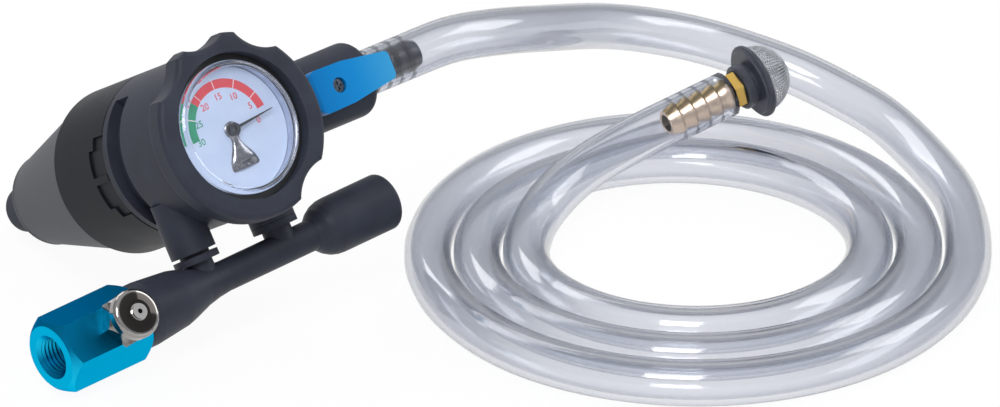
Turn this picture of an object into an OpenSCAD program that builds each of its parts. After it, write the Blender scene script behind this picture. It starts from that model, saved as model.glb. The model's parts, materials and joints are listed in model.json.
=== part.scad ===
// Vacuum coolant refiller: gauge head, rubber cone, ball valve, air venturi and a clear hose.
// The tool is drawn in its own frame: +X towards the hose, +Y up on the dial, +Z out of the gauge,
// with its zero at the middle of the lens rim. stance() then leans it back on its cone.
// Lengths are millimetres and angles are degrees.

/* [Stance] */
// Angle that the head leans back from lying face up
lean_back = 60.5; // [50:0.1:70]
// Rise of the tool towards its hose side
side_tilt = 6; // [0:0.5:10]

/* [Gauge] */
// Outer diameter of the gauge case and its lens
gauge_d = 40; // [36:0.5:42]
// Height of the clear lens
lens_h = 3.2; // [2.8:0.1:4]
// Thickness of the clear lens
lens_t = 1.5; // [1:0.1:2]
// Length of the gauge case behind the lens
case_h = 13.8; // [13.4:0.2:16]
// Wall of the gauge case
case_wall = 0.8; // [0.5:0.1:1.2]
// Depth of the dial face below the lens rim
dial_depth = 6.3; // [5.8:0.1:6.8]
// Thickness of the dial plate
dial_t = 0.6; // [0.4:0.1:0.8]
// Length of the pointer from its shaft
needle_len = 15.2; // [10:0.2:17]
// Dial angle at which the pointer rests
needle_zero = 5; // [-20:1:20]
// Diameter of the pointer shaft
shaft_d = 1.6; // [1:0.1:2]
// Radius of the curved pressure tube
tube_loop_r = 16.4; // [15.5:0.1:17]
// Pitch radius of the sector gear
sector_r = 8; // [7:0.5:9]
// Number of teeth on the pinion
pinion_teeth = 8; // [8:1:10]
// Pitch radius of the pinion
pinion_r = 1.6; // [1.4:0.1:1.8]
// Diameter of the threaded gauge stem
stem_thread_d = 9.1; // [8:0.1:10]

/* [Head] */
// Outer diameter of the head and of its turning collar
head_d = 50.2; // [48:0.2:54]
// Depth from the lens rim to the window behind the stubs
head_len = 27.4; // [27:0.1:29]
// Height of the window
window_h = 7.4; // [5:0.1:8]
// Arc of the window round the left of the head
window_arc = 106; // [60:1:110]
// Thickness of the lip behind the window
lip_t = 2.8; // [2:0.1:4]
// Wall of the rubber boot round the gauge
boot_wall = 1.9; // [1.2:0.1:2.2]
// Height of the dark gap between lens and grip ring
boot_drop = 2.6; // [1:0.2:4]
// Outer diameter of the neck inside the collar
neck_d = 43.6; // [40:0.2:44]
// Length of the neck from the front of the window
neck_len = 19.9; // [19:0.1:22]
// Bore of the neck that takes the cone tube
neck_bore_d = 18.4; // [16:0.2:20]

/* [Grip ring] */
// Outer diameter of the grip ring
grip_d = 56.4; // [56:0.2:58]
// Depth of its finger hollows
scallop_depth = 2.9; // [1:0.1:3.5]
// Radius of its finger hollows
scallop_r = 14.7; // [10:0.1:18]
// Distance that the ring stands in front of the lens rim
grip_front = 1.3; // [0:0.1:3]
// Full height of the grip ring
grip_h = 7.3; // [6:0.1:9]
// Rounding at the front of the grip ring
grip_round = 2; // [0.5:0.1:2.5]

/* [Collar and cone] */
// Length of the turning collar
collar_len = 28.2; // [27:0.1:33]
// Wall of the collar round the rubber cone
collar_wall = 2.3; // [1.6:0.1:3]
// Depth of the index recess on the collar
recess_depth = 0.7; // [0.4:0.1:1.2]
// Arc of the index recess
recess_arc = 59; // [45:1:80]
// Diameter of the rubber cone where it leaves the collar
cone_big_d = 48; // [46:0.5:49]
// Diameter of the small end of the rubber cone
cone_small_d = 28.4; // [22:0.5:34]
// Length of the rubber cone outside the collar
cone_len = 44.5; // [36:0.5:50]
// Outer diameter of the tube that ends in the nose
nose_d = 14; // [12:0.5:16]
// Bore of the nose tube
nose_bore_d = 9; // [7:0.5:10]
// Length of the nose past the rubber cone
nose_len = 15.5; // [8:0.5:18]

/* [Ball valve] */
// Depth of the valve and stub axes below the lens rim
port_depth = 25.5; // [25:0.1:27]
// Outer diameter of the valve body
valve_d = 23; // [20:0.5:24]
// Droop of the valve below the line square to the head
valve_droop = 1; // [0:0.5:3]
// Distance from the head axis to the outer end of the valve
valve_end = 60.8; // [58:0.2:64]
// Distance from the head axis to the ball
ball_x = 43.7; // [43:0.1:45]
// Diameter of the ball
ball_d = 14.3; // [13:0.1:15]
// Bore through the ball and seats
flow_d = 8; // [6:0.5:9]
// Diameter of the valve stem
stem_d = 6; // [5:0.2:7]
// Length of the lever from the stem to its tip
lever_tip = 19.5; // [16:0.5:30]
// Length of the lever behind the stem
lever_tail = 9.2; // [7:0.2:12]
// Width of the lever at the stem end
lever_w = 13.6; // [9:0.5:14]
// Width of the lever at its tip
lever_tip_w = 8.4; // [6:0.5:12]
// Thickness of the lever
lever_t = 3.4; // [2.8:0.1:4.5]
// Lift of the lever tip above its flat root
lever_lift = 1.2; // [0:0.1:2]

/* [Venturi] */
// Distance from the head axis down to the venturi axis
venturi_drop = 38.6; // [38:0.2:44]
// Rise of the venturi towards the muffler
venturi_rise = 1; // [0:0.5:2]
// Distance from the head axis to the stub on the inlet side
stub_left = 15.9; // [14:0.1:17]
// Distance from the head axis to the stub on the muffler side
stub_right = 13.9; // [12:0.1:15]
// Diameter of the stub collars on the head
stub_d = 14; // [12:0.5:16]
// Distance from the head axis to the end of the inlet side stub
stub_reach = 29; // [28:0.2:29.4]
// Diameter of the slim part of the venturi
mixer_d = 9.4; // [8.6:0.2:12]
// Diameter of the venturi beside the air inlet
inlet_end_d = 19.8; // [18:0.2:22]
// Distance of the inlet end of the venturi from the head axis
inlet_end = 44.5; // [43:0.5:48]
// Diameter of the muffler
muffler_d = 17.3; // [15:0.1:20]
// Distance from the head axis to the far end of the muffler
muffler_end = 53.2; // [46:0.5:60]
// Wall of the muffler
muffler_wall = 1.6; // [1:0.1:2.2]
// Diameter of the muffler outlet
outlet_d = 8; // [6:0.5:10]

/* [Air inlet] */
// Width across the flats of the air inlet
inlet_af = 21.2; // [19:0.2:24]
// Length of the air inlet
inlet_len = 31; // [25:0.1:33]
// Turn of the hexagon about its own axis
inlet_turn = 6; // [-15:1:15]
// Bore of the quarter inch pipe thread
inlet_bore_d = 11.4; // [10.5:0.1:12.5]
// Depth of the threaded bore
inlet_bore_len = 14; // [10:0.5:16]

/* [Relief valve] */
// Distance from the head axis to the relief valve
relief_x = 54; // [54:0.2:60]
// Width across the flats of its nut
relief_af = 14; // [12:0.5:16]
// Height of its nut above the inlet
relief_nut_h = 4.5; // [4:0.1:6]
// Diameter of its cap
relief_cap_d = 15; // [12:0.5:16]
// Height of its cap
relief_cap_h = 4.6; // [4.2:0.1:6]
// Wire of its spring
relief_wire = 0.5; // [0.3:0.05:0.6]
// Number of curls in its spring
relief_curls = 5; // [4:1:8]

/* [Hose] */
// Outer diameter of the clear hose
hose_d = 14; // [12:0.1:15]
// Bore of the clear hose
hose_bore_d = 10; // [8:0.1:10.4]
// Turns of the coil
coil_turns = 2.5; // [1.5:0.5:3]
// Largest half width of the coil
coil_half_w = 83.7; // [70:0.1:100]
// Largest half depth of the coil
coil_half_d = 107.5; // [80:0.1:120]
// Step inward of a turn at the sides
coil_step_w = 14.5; // [14.4:0.1:18]
// Step inward of a turn at the front and back
coil_step_d = 20.3; // [14.4:0.1:22]

/* [Strainer] */
// Diameter of the strainer flange
strainer_d = 22.8; // [22:0.2:28]
// Diameter of the mesh dome
mesh_d = 20.4; // [15:0.2:21]
// Height of the mesh dome
mesh_h = 10.2; // [4:0.1:12]
// Width across the flats of the brass fitting
brass_af = 10.4; // [10:0.1:14]

/* [Hidden] */
$fn = 64;

fit = 0.05;      // running fit on a radius
gap = 0.3;       // clear space between bodies
skin = 0.01;     // cut depth past a face

// Radii worked out from the diameters above
socket_half = 1.6;
tube_space = 1;
gauge_r = max(gauge_d / 2, tube_loop_r + socket_half + tube_space + case_wall);
boot_r = gauge_r + 0.1 + boot_wall;
head_r = max(head_d / 2, boot_r + 3);
ring_r = max(grip_d / 2, head_r + scallop_depth + 0.2);
neck_r = neck_d / 2;
valve_r = valve_d / 2;
muffler_r = muffler_d / 2;
mixer_r = mixer_d / 2;
inlet_end_r = inlet_end_d / 2;
hose_r = hose_d / 2;
nose_r = nose_d / 2;
stub_r = stub_d / 2;
flow_r = flow_d / 2;
ball_r = ball_d / 2;
stem_r = stem_d / 2;

// Depths below the lens rim, in the order that they are met
grip_back = grip_h - grip_front;
spigot_r = head_r - 1.6;
spigot_top = 1.2;
case_back = lens_h + case_h;
bulkhead_top = case_back + gap;
bulkhead_t = 4;
plenum_top = bulkhead_top + bulkhead_t;
plenum_r = neck_r - 4.8;
neck_end = head_len + neck_len;
neck_floor = head_len + 5.6;
neck_wall = 2.4;
lip_top = head_len + window_h;
rear_end = lip_top + lip_t;
collar_top = rear_end + 0.2;
collar_end = collar_top + collar_len;
web_top = neck_end + 0.7;
web_t = 2;
web_back = web_top + web_t;
cone_end = collar_end + cone_len;
nose_end = cone_end + nose_len;
collar_bore_r = neck_r + 0.2;
cone_pocket_r = head_r - collar_wall;
nose_flange_r = 19;
nose_flange_t = 3.2;
nose_spigot_r = neck_bore_d / 2 - 0.25;
nose_round = 1.5;

// Hollows of the grip ring: the places round it
scallop_turns = [130, 92.5, 53.5, -55.5];
window_turn = 177.5;

// Bayonet lugs on the neck and their groove in the collar
lug_rise = 1;
lug_top = collar_top + 6;
lug_h = 1.6;
lug_arc = 30;
lug_groove_r = neck_r + lug_rise + 0.2;
lug_space = 0.7;
entry_turn = 60;

// Index recess on the left of the collar
recess_turn = 178;
recess_rib = 5;
recess_end_h = 5.2;
recess_mid_h = 7.6;
recess_mid_arc = 42;

// Round seals
seal_wire = 0.8;
stub_root = 12;
stub_step = 0.9;
stub_spigot_r = 4.6;
stub_bore_r = stub_spigot_r + fit;
port_r = 2.6;
head_port_r = 1.6;
port_rise = 0.8;

// Valve
boss_r = 9;
boss_end = head_r + 1.5;
valve_start = boss_end + 0.2;
valve_spigot_r = 7;
valve_spigot_start = boss_end - 6.3;
chamber_r = ball_r + 0.35;
seat_t = 3.8;
chamber_start = ball_x - ball_r - 0.75;
chamber_stop = ball_x + ball_r + 0.75;
shank_r = chamber_r - fit;
stem_top = port_depth - valve_r;              // depth of the top of the round body
boss_top = stem_top - 0.8;                    // depth of the stem boss
stem_boss_r = 6.5;
lever_back = boss_top - gap;
lever_front = lever_back - lever_t;
screw_head_r = 2;
screw_head_h = 1;
screw_recess = 1.9;
screw_r = 1.2;
square_w = 3.6;
square_h = lever_t - screw_recess - 0.1;
tongue_w = 1.6;
tongue_d = 2.3;
barb_start = valve_end + 0.2;
barb_root_r = 3.9;
barb_tip_r = 4.9;
barb_bore_r = 3.2;
barb_pitch = 4.6;
barb_rings = 4;
barb_end = barb_start + 3 + barb_pitch * barb_rings;
cuff_bore_r = hose_bore_d / 2 + 0.1;
cuff_start = valve_end + 0.3;
cuff_end = barb_end + 0.6;

// Venturi
shoulder_start = 24;
mixer_start = -9.5;
flange_t = 2;
flange_top = stub_reach + stub_step + 0.1;
stub_neck_r = 4.45;
stub_spigot_top = stub_reach - 6.5;
tail_spigot_r = 3.6;
jet_r = 1.1;
throat_r = 1.7;
core_start = shoulder_start + 7.4;
throat_start = -15;
diffuser_r = 2.6;
nozzle_end = -21;
chamber_bore_r = 4.6;
socket_r = 7;
socket_len = 8;
nozzle_seat = inlet_end - socket_len;

// Air inlet and relief valve
inlet_start = inlet_end + inlet_len;
inlet_corner_r = inlet_af / 2 / cos(30);
inlet_bevel = 2.3;
inlet_face_r = inlet_af / 2 - 0.9;
inlet_flow_r = 3.6;
relief_seat = inlet_af / 2;
relief_shank_r = 4;
relief_shank_len = 3.6;
relief_bore_r = 3.1;
relief_hole_r = 1.5;
relief_rim_r = 2.35;
relief_rim_h = 0.9;
poppet_r = 2.9;
poppet_h = 1.6;
spring_r = 2.1;

// Place of the tool on its surface: its lowest point is on the floor
tilt_up = cos(lean_back) * cos(side_tilt);
nose_low = nose_end * tilt_up + (nose_r - nose_round) * sqrt(1 - tilt_up * tilt_up)
  - nose_round * (tilt_up - 1);
hex_drop = venturi_drop + inlet_start * sin(venturi_rise);
hex_low = hex_drop * sin(lean_back) * cos(side_tilt) + port_depth * tilt_up
  + inlet_start * sin(side_tilt) + inlet_corner_r * cos(side_tilt);
stand_x = -6.2;
stand_y = -48;
stand_z = max(nose_low, hex_low);

// Place on the floor of a point x out along the axis of the valve
function valve_point(x) = let (p = [x * cos(valve_droop), -x * sin(valve_droop), -port_depth],
  leant = [p[0], p[1] * cos(lean_back) - p[2] * sin(lean_back),
    p[1] * sin(lean_back) + p[2] * cos(lean_back)])
  [stand_x + leant[0] * cos(side_tilt) - leant[2] * sin(side_tilt), stand_y + leant[1],
    stand_z + leant[0] * sin(side_tilt) + leant[2] * cos(side_tilt)];

// Route of the hose from the valve down to the coil, then from the coil up to the strainer
lead_route = [
  valve_point(cuff_end + 0.5), valve_point(cuff_end + 14), [111.4, -26, 60.5], [136.9, -19, 53],
  [165.4, -9, 43.5], [185.9, -8, 36.5], [201.4, -13, 31], [213.9, -21.5, 25.5], [223.9, -33.5, 20.5],
  [229.9, -49, 15.5], [231.9, -63, 12.5], [225.9, -90.5, 8], [213.4, -117, 7], [204.7, -132.9, 7],
  [201, -136.6, 7],
];
coil_place = [126.8, -92.8, 7];
coil_turn = -40.4;
coil_lead_in = [1.1, 14, 0];
coil_lead_out = [1.8, 13.9, 0];
tail_route = [
  [101.4, -52.3, 7], [105.8, -48.4, 7.3], [114.8, -43.6, 9.6], [124.3, -40, 12],
  [134.8, -38.1, 14.7], [143.8, -38.3, 16.9], [154.8, -38.2, 19], [161.25, -39.26, 20.53],
];
tail_place = [186, -43.4, 26.55];
tail_rise = 13.5;
tail_turn = -9.5;

rubber = "#3a3b3d";
black_plastic = "#26272b";
dark_grey = "#55585c";
blue_lever = "#1fa3d8";
blue_metal = "#12a5cc";
steel = "#c9ccd0";
brass = "#c9a25a";
clear_hose = [0.75, 0.78, 0.83, 0.55];

// Stands the tool on the floor
module stance() {
  translate([stand_x, stand_y, stand_z]) rotate([lean_back, -side_tilt, 0]) children();
}

// Drops children to a depth below the lens rim
module at_depth(depth) {
  translate([0, 0, -depth]) children();
}

// Turns +Z of its children to +X, on the axis of the valve
module valve_axis(x) {
  valve_turn() translate([x, 0, -port_depth]) rotate([0, 90, 0]) children();
}

// Turns children from the line square to the head onto the line of the valve
module valve_turn() {
  rotate([0, 0, -valve_droop]) children();
}

// Turns +Z of its children to +X, on the axis of the venturi
module venturi_axis(x) {
  translate([0, -venturi_drop, -port_depth]) rotate([0, 0, venturi_rise]) translate([x, 0, 0])
    rotate([0, 90, 0]) children();
}

// Turns +Z of its children down, on the axis of each stub
module each_stub() {
  for (x = [-stub_left, stub_right])
    translate([x, 0, -port_depth]) rotate([90, 0, 0]) children();
}

// Places children on the flat of the inlet that carries the relief valve, +Z outwards
module relief_axis() {
  venturi_axis(-relief_x) rotate([0, -90, 0]) rotate([-inlet_turn, 0, 0]) children();
}

module tube(outer, inner, h) {
  difference() {
    cylinder(r = outer, h = h);
    translate([0, 0, -skin]) cylinder(r = inner, h = h + 2 * skin);
  }
}

module ring_seal(r, wire) {
  rotate_extrude() translate([r, 0]) circle(r = wire, $fn = 24);
}

// Corner of a profile rounded by an arc: from angle a0 to a1 about the point c
function arc(c, r, a0, a1, n = 8) = [for (i = [0:n]) let (a = a0 + (a1 - a0) * i / n)
  [c[0] + r * cos(a), c[1] + r * sin(a)]];

// Unit vector and length of a vector
function unit(v) = v / norm(v);

// Direction of a route at point i
function heading(route, i) = unit(
  i == 0 ? route[1] - route[0] :
  i == len(route) - 1 ? route[i] - route[i - 1] :
  route[i + 1] - route[i - 1]);

// Ring of points square to a route at point i
function ring(route, i, r, sides) =
  let (t = heading(route, i), across = unit(cross([0, 0, 1], t)), above = cross(t, across))
  [for (k = [0:sides - 1]) let (a = (k + 0.5) * 360 / sides)
    route[i] + r * (cos(a) * across + sin(a) * above)];

// Point between route points i and i + 1 on a smooth curve through them
function between(route, i, t) =
  let (p0 = route[max(i - 1, 0)], p1 = route[i], p2 = route[i + 1],
    p3 = route[min(i + 2, len(route) - 1)])
  0.5 * ((2 * p1) + (p2 - p0) * t + (2 * p0 - 5 * p1 + 4 * p2 - p3) * t * t
    + (3 * p1 - p0 - 3 * p2 + p3) * t * t * t);

// Route with n steps between each pair of its points
function smooth(route, n) = concat(
  [for (i = [0:len(route) - 2], k = [0:n - 1]) between(route, i, k / n)],
  [route[len(route) - 1]]);

// Solid hose swept along a route
module hose(route, r, sides) {
  count = len(route);
  rings = [for (i = [0:count - 1]) each ring(route, i, r, sides)];
  walls = [for (i = [0:count - 2], k = [0:sides - 1])
    let (a = i * sides + k, b = i * sides + (k + 1) % sides)
    each [[a, b, b + sides], [a, b + sides, a + sides]]];
  first = [for (k = [1:sides - 2]) [0, k + 1, k]];
  top = (count - 1) * sides;
  last = [for (k = [1:sides - 2]) [top, top + k, top + k + 1]];
  polyhedron(points = rings, faces = concat([for (f = walls) [f[0], f[2], f[1]]],
    [for (f = first) [f[0], f[2], f[1]]], [for (f = last) [f[0], f[2], f[1]]]));
}

// Outline with rounded corners: each point is [x, y, radius]
function rounded(points, n = 6) = [for (i = [0:len(points) - 1])
  let (count = len(points), p = points[i], a = points[(i + count - 1) % count],
    b = points[(i + 1) % count], pa = unit([a[0] - p[0], a[1] - p[1]]),
    pb = unit([b[0] - p[0], b[1] - p[1]]), half = acos(pa * pb) / 2,
    mid = unit(pa + pb), c = [p[0], p[1]] + mid * p[2] / sin(half),
    from = [p[0], p[1]] + pa * p[2] / tan(half) - c, start = atan2(from[1], from[0]),
    sweep = 180 - 2 * half)
  each [for (k = [0:n]) c + p[2] * [cos(start + sweep * k / n), sin(start + sweep * k / n)]]];

module head_housing() {
  color(black_plastic) stance() difference() {
    union() {
      at_depth(grip_back) cylinder(r = spigot_r, h = grip_back - spigot_top);
      at_depth(rear_end) rotate_extrude() polygon(concat([[0, 0]],
        arc([head_r - 0.4, 0.4], 0.4, -90, 0, 4), [[head_r, rear_end - grip_back],
        [0, rear_end - grip_back]]));
      at_depth(neck_end) cylinder(r = neck_r, h = neck_end - rear_end + 1);
      for (side = [0, 180]) rotate([0, 0, side - lug_arc / 2])
        at_depth(lug_top + lug_h) rotate_extrude(angle = lug_arc)
          translate([neck_r - 1, 0]) square([lug_rise + 1, lug_h]);
      valve_axis(head_r - 6) cylinder(r = boss_r, h = boss_end - head_r + 6);
      each_stub() translate([0, 0, stub_root]) cylinder(r = stub_r, h = stub_reach - stub_root);
      translate([stub_right, 0, -port_depth]) rotate([90, 0, 0]) translate([0, 0, stub_root])
        cylinder(r = stub_r, h = stub_reach + stub_step - stub_root);
    }
    at_depth(bulkhead_top) cylinder(r = boot_r + fit, h = bulkhead_top + 1);
    at_depth(plenum_top + 1) cylinder(r = stem_thread_d / 2 + fit, h = bulkhead_t + 2);
    at_depth(neck_floor - 2) cylinder(r = plenum_r, h = neck_floor - 2 - plenum_top);
    at_depth(neck_end + 1) cylinder(r = neck_bore_d / 2, h = neck_end - neck_floor + 4);
    at_depth(neck_end + 1) tube(neck_r - neck_wall, neck_bore_d / 2 + 2.8, neck_end + 1 - neck_floor);
    valve_axis(10) cylinder(r = flow_r + 0.75, h = head_r);
    valve_axis(valve_spigot_start - gap) cylinder(r = valve_spigot_r + fit, h = 10);
    each_stub() translate([0, port_rise, 6]) cylinder(r = head_port_r, h = 20);
    rotate([0, 0, window_turn - window_arc / 2]) at_depth(lip_top) rotate_extrude(angle = window_arc)
      translate([neck_r, 0]) square([head_r - neck_r + 3, window_h]);
    each_stub() translate([0, 0, stub_spigot_top - gap])
      cylinder(r = stub_bore_r, h = stub_reach - stub_spigot_top + 2);
  }
}

module grip_ring() {
  edge = grip_h - grip_round;
  color(black_plastic) stance() difference() {
    at_depth(grip_back) rotate_extrude($fn = 96) polygon(concat([[0, 0]],
      arc([ring_r - 0.8, 0.8], 0.8, -90, 0, 3), arc([ring_r - grip_round, edge], grip_round, 0, 75),
      [[boot_r + 1.6, grip_h], [0, grip_h]]));
    for (turn = scallop_turns) rotate([0, 0, turn])
      translate([ring_r - scallop_depth + scallop_r, 0, -grip_back]) rotate_extrude($fn = 96)
        polygon(concat([[0, -1], [scallop_r, -1]],
          arc([scallop_r + grip_round, edge], grip_round, 180, 105),
          [[scallop_r + grip_round, grip_h + 1], [0, grip_h + 1]]));
    at_depth(grip_back + 1) cylinder(r = spigot_r + fit, h = grip_back + 1 - spigot_top);
    at_depth(spigot_top + skin) cylinder(r = boot_r + fit, h = 4);
  }
}

module gauge_boot() {
  color("#1b1c1e") stance() at_depth(bulkhead_top)
    tube(boot_r, gauge_r + fit, bulkhead_top - boot_drop);
}

module gauge_case() {
  color(steel) stance() at_depth(case_back) difference() {
    cylinder(r = gauge_r, h = case_h);
    translate([0, 0, case_wall]) cylinder(r = gauge_r - case_wall, h = case_h);
    translate([0, 0, -1]) cylinder(r = stem_thread_d / 2 + fit, h = 3);
  }
}

module gauge_socket() {
  arm_w = 5;
  arm_top = case_back - case_wall - 1.6;
  color(brass) stance() difference() {
    union() {
      at_depth(plenum_top - 0.5) cylinder(r = stem_thread_d / 2, h = plenum_top - 0.5 - arm_top);
      translate([-arm_w / 2, -tube_loop_r - socket_half, -arm_top - 1.3])
        cube([arm_w, tube_loop_r + socket_half, 1.3]);
      translate([-arm_w / 2, -tube_loop_r - socket_half, -arm_top - 1.3])
        cube([arm_w, 2 * socket_half, 6.3]);
    }
    at_depth(plenum_top) cylinder(r = 1.5, h = 5);
    translate([0, skin, -arm_top - 0.65]) rotate([90, 0, 0]) cylinder(r = 0.4, h = tube_loop_r);
  }
}

module bourdon_tube() {
  color(brass) stance() at_depth(case_back - case_wall - 5) rotate([0, 0, -81])
    rotate_extrude(angle = 250) translate([tube_loop_r, 0]) difference() {
      square([1.5, 3.8], center = true);
      square([0.7, 3], center = true);
    }
}

module movement_frame() {
  color(brass) stance() difference() {
    union() {
      at_depth(case_back - case_wall - 2.9) plate(0.7);
      at_depth(dial_depth + dial_t + 2.2) plate(0.7);
      for (p = pillars()) translate([p[0], p[1], -case_back + case_wall + 2.9])
        cylinder(r = 1, h = case_back - case_wall - 2.9 - dial_depth - dial_t - gap, $fn = 24);
      translate([0, 0, -case_back + case_wall + 1.6 + 0.01])
        translate([-2.5, -6, 0]) cube([5, 4, 1.3]);
    }
    at_depth(case_back) cylinder(r = shaft_d / 2 + fit, h = case_h, $fn = 24);
    translate([0, -gear_gap(), -case_back]) cylinder(r = 0.6, h = case_h, $fn = 24);
  }
}

// Corners of the small movement inside the gauge
function pillars() = [[-7, -12], [7, -12], [-6, 5], [6, 5]];

// Distance between the pinion and the sector pivot
function gear_gap() = sector_r + pinion_r + 0.02;

module plate(t) {
  linear_extrude(t) polygon(rounded([[-8.5, -13.5, 1.5], [8.5, -13.5, 1.5], [7.5, 6.5, 1.5],
    [-7.5, 6.5, 1.5]]));
}

// Gear outline with straight-sided teeth and generous backlash
function gear(r, n, first, last) = [for (i = [first:last]) let (p = 360 / n, a = i * p,
  low = r - 0.42, high = r + 0.28)
  each [[low * cos(a - 0.24 * p), low * sin(a - 0.24 * p)],
    [high * cos(a - 0.1 * p), high * sin(a - 0.1 * p)],
    [high * cos(a + 0.1 * p), high * sin(a + 0.1 * p)],
    [low * cos(a + 0.24 * p), low * sin(a + 0.24 * p)]]];

gear_mid = dial_depth + dial_t + 4.1;

module sector_gear() {
  teeth = round(pinion_teeth * sector_r / pinion_r);
  span = 5;
  color(steel) stance() translate([0, -gear_gap(), -gear_mid]) {
    difference() {
      rotate([0, 0, 90 + 18]) linear_extrude(0.8) polygon(concat([[0.9, -1.2]],
        gear(sector_r, teeth, -span, span), [[0.9, 1.2], [-2.4, 1.4], [-2.4, -1.4]]));
      translate([0, 0, -1]) cylinder(r = 0.5, h = 3, $fn = 24);
    }
    translate([0, 0, -2.9]) cylinder(r = 0.5, h = 6.1, $fn = 24);
  }
}

module pinion_shaft() {
  color(steel) stance() {
    translate([0, 0, -gear_mid - 0.2]) rotate([0, 0, 90 + 180 / pinion_teeth])
      linear_extrude(1.2) polygon(gear(pinion_r, pinion_teeth, 0, pinion_teeth - 1));
    at_depth(case_back - case_wall - 2.7) cylinder(r = shaft_d / 2, $fn = 24,
      h = case_back - case_wall - 2.7 - dial_depth + 1.2);
  }
}

module hairspring() {
  color(brass) stance() at_depth(gear_mid - 1.5) tube(3.4, 1.1, 0.4);
}

module gauge_dial() {
  color("white") stance() at_depth(dial_depth + dial_t)
    tube(gauge_r - case_wall - 0.1, shaft_d / 2 + gap, dial_t);
}

module gauge_pointer() {
  color("#1a1a1c") stance() at_depth(dial_depth - 1.3) rotate([0, 0, needle_zero]) difference() {
    union() {
      translate([0, 0, -0.4]) cylinder(r = 1.9, h = 1.2, $fn = 32);
      linear_extrude(0.4) polygon([[-1.5, -0.55], [-1.5, 0.55], [0, 0.5], [needle_len, 0.12],
        [needle_len, -0.12], [0, -0.5]]);
    }
    translate([0, 0, -1]) cylinder(r = shaft_d / 2, h = 1.9, $fn = 24);
  }
}

module movement_bridge() {
  color(steel) stance() at_depth(dial_depth) difference() {
    union() {
      linear_extrude(0.7) polygon([[-5, -11.2], [-4.4, -11.8], [4.4, -11.8], [5, -11.2],
        [4.7, -9.4], [3.6, -7.4], [2.3, -5.4], [1.5, -3.5], [1.4, 0], [-1.4, 0], [-1.5, -3.5],
        [-2.3, -5.4], [-3.6, -7.4], [-4.7, -9.4]]);
      cylinder(r = 2.6, h = 0.7);
    }
    translate([0, 0, -1]) cylinder(r = shaft_d / 2 + gap, h = 3, $fn = 24);
    for (side = [-1, 1]) translate([side * 2.6, -10.4, -1]) cylinder(r = 0.6, h = 3, $fn = 24);
  }
}

module bridge_rivets() {
  color(steel) stance() for (side = [-1, 1]) translate([side * 2.6, -10.4, -dial_depth]) {
    cylinder(r = 0.58, h = 0.7, $fn = 24);
    translate([0, 0, 0.7]) cylinder(r1 = 1.2, r2 = 0.8, h = 0.5, $fn = 24);
  }
}

module gauge_lens() {
  color([0.9, 0.94, 0.98, 0.4]) stance() at_depth(lens_h) rotate_extrude() polygon(concat(
    [[gauge_r - case_wall, 0], [gauge_r, 0]],
    arc([gauge_r - 0.9, lens_h - 0.9], 0.9, 0, 90),
    [[gauge_r - 1.4, lens_h], [gauge_r - 1.8, lens_h - 0.6], [gauge_r - 2.4, lens_h - 0.6],
    [gauge_r - 2.9, lens_h - 0.15], [0, lens_h + 0.05], [0, lens_h - lens_t],
    [gauge_r - 2.8, lens_h - lens_t - 0.1], [gauge_r - 1.6, lens_h - lens_t - 0.9]]));
}

module bayonet_collar() {
  color("#2c2d31") stance() difference() {
    at_depth(collar_end) rotate_extrude() polygon(concat(
      [[0, 0]], arc([head_r - 0.8, 0.8], 0.8, -90, 0),
      arc([head_r - 0.5, collar_len - 0.5], 0.5, 0, 90, 4), [[0, collar_len]]));
    at_depth(web_top) cylinder(r = collar_bore_r, h = web_top);
    at_depth(web_back + 1) cylinder(r = neck_bore_d / 2 - 0.1, h = web_t + 2);
    at_depth(collar_end + 1) cylinder(r = cone_pocket_r, h = collar_end + 1 - web_back);
    at_depth(lug_top + lug_h + lug_space) cylinder(r = lug_groove_r, h = lug_h + 2 * lug_space);
    for (side = [0, 180]) rotate([0, 0, side + entry_turn - lug_arc / 2 - 2]) at_depth(lug_top + lug_h)
      rotate_extrude(angle = lug_arc + 4) translate([neck_r - 1, 0])
        square([lug_groove_r - neck_r + 1, lug_top + lug_h - collar_top + 1]);
    index_recess(1);
    index_recess(-1);
  }
}

// One half of the shallow recess on the left of the collar, beside its middle rib
module index_recess(side) {
  for (part = [[recess_arc, recess_end_h], [recess_mid_arc, recess_mid_h]])
    rotate([0, 0, recess_turn + (side > 0 ? recess_rib / 2 : -part[0] / 2)])
      at_depth(collar_top + part[1]) rotate_extrude(angle = (part[0] - recess_rib) / 2)
        translate([head_r - recess_depth, 0]) square([3, part[1] + 1]);
}

module collar_seal() {
  color(rubber) stance() at_depth(neck_floor + 5) ring_seal(neck_bore_d / 2 - seal_wire, seal_wire - 0.02);
}

module nose_tube() {
  color("#303135") stance() at_depth(nose_end) difference() {
    union() {
      rotate_extrude() polygon(concat([[0, 0]], arc([nose_r - nose_round, nose_round], nose_round,
        -90, 0), [[nose_r, nose_end - web_back], [0, nose_end - web_back]]));
      translate([0, 0, nose_end - web_back - nose_flange_t])
        cylinder(r = nose_flange_r, h = nose_flange_t);
      cylinder(r = nose_bore_d / 2 + 1, h = nose_end - neck_floor - 1);
      translate([0, 0, nose_end - web_back - skin])
        cylinder(r = nose_spigot_r, h = web_back - neck_floor - 1);
    }
    translate([0, 0, -1]) cylinder(r = nose_bore_d / 2, h = nose_end);
    translate([0, 0, nose_end - neck_floor - 5 - seal_wire - 0.2])
      tube(nose_spigot_r + 1, neck_bore_d / 2 - 2 * seal_wire, 2 * seal_wire + 0.4);
  }
}

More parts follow.
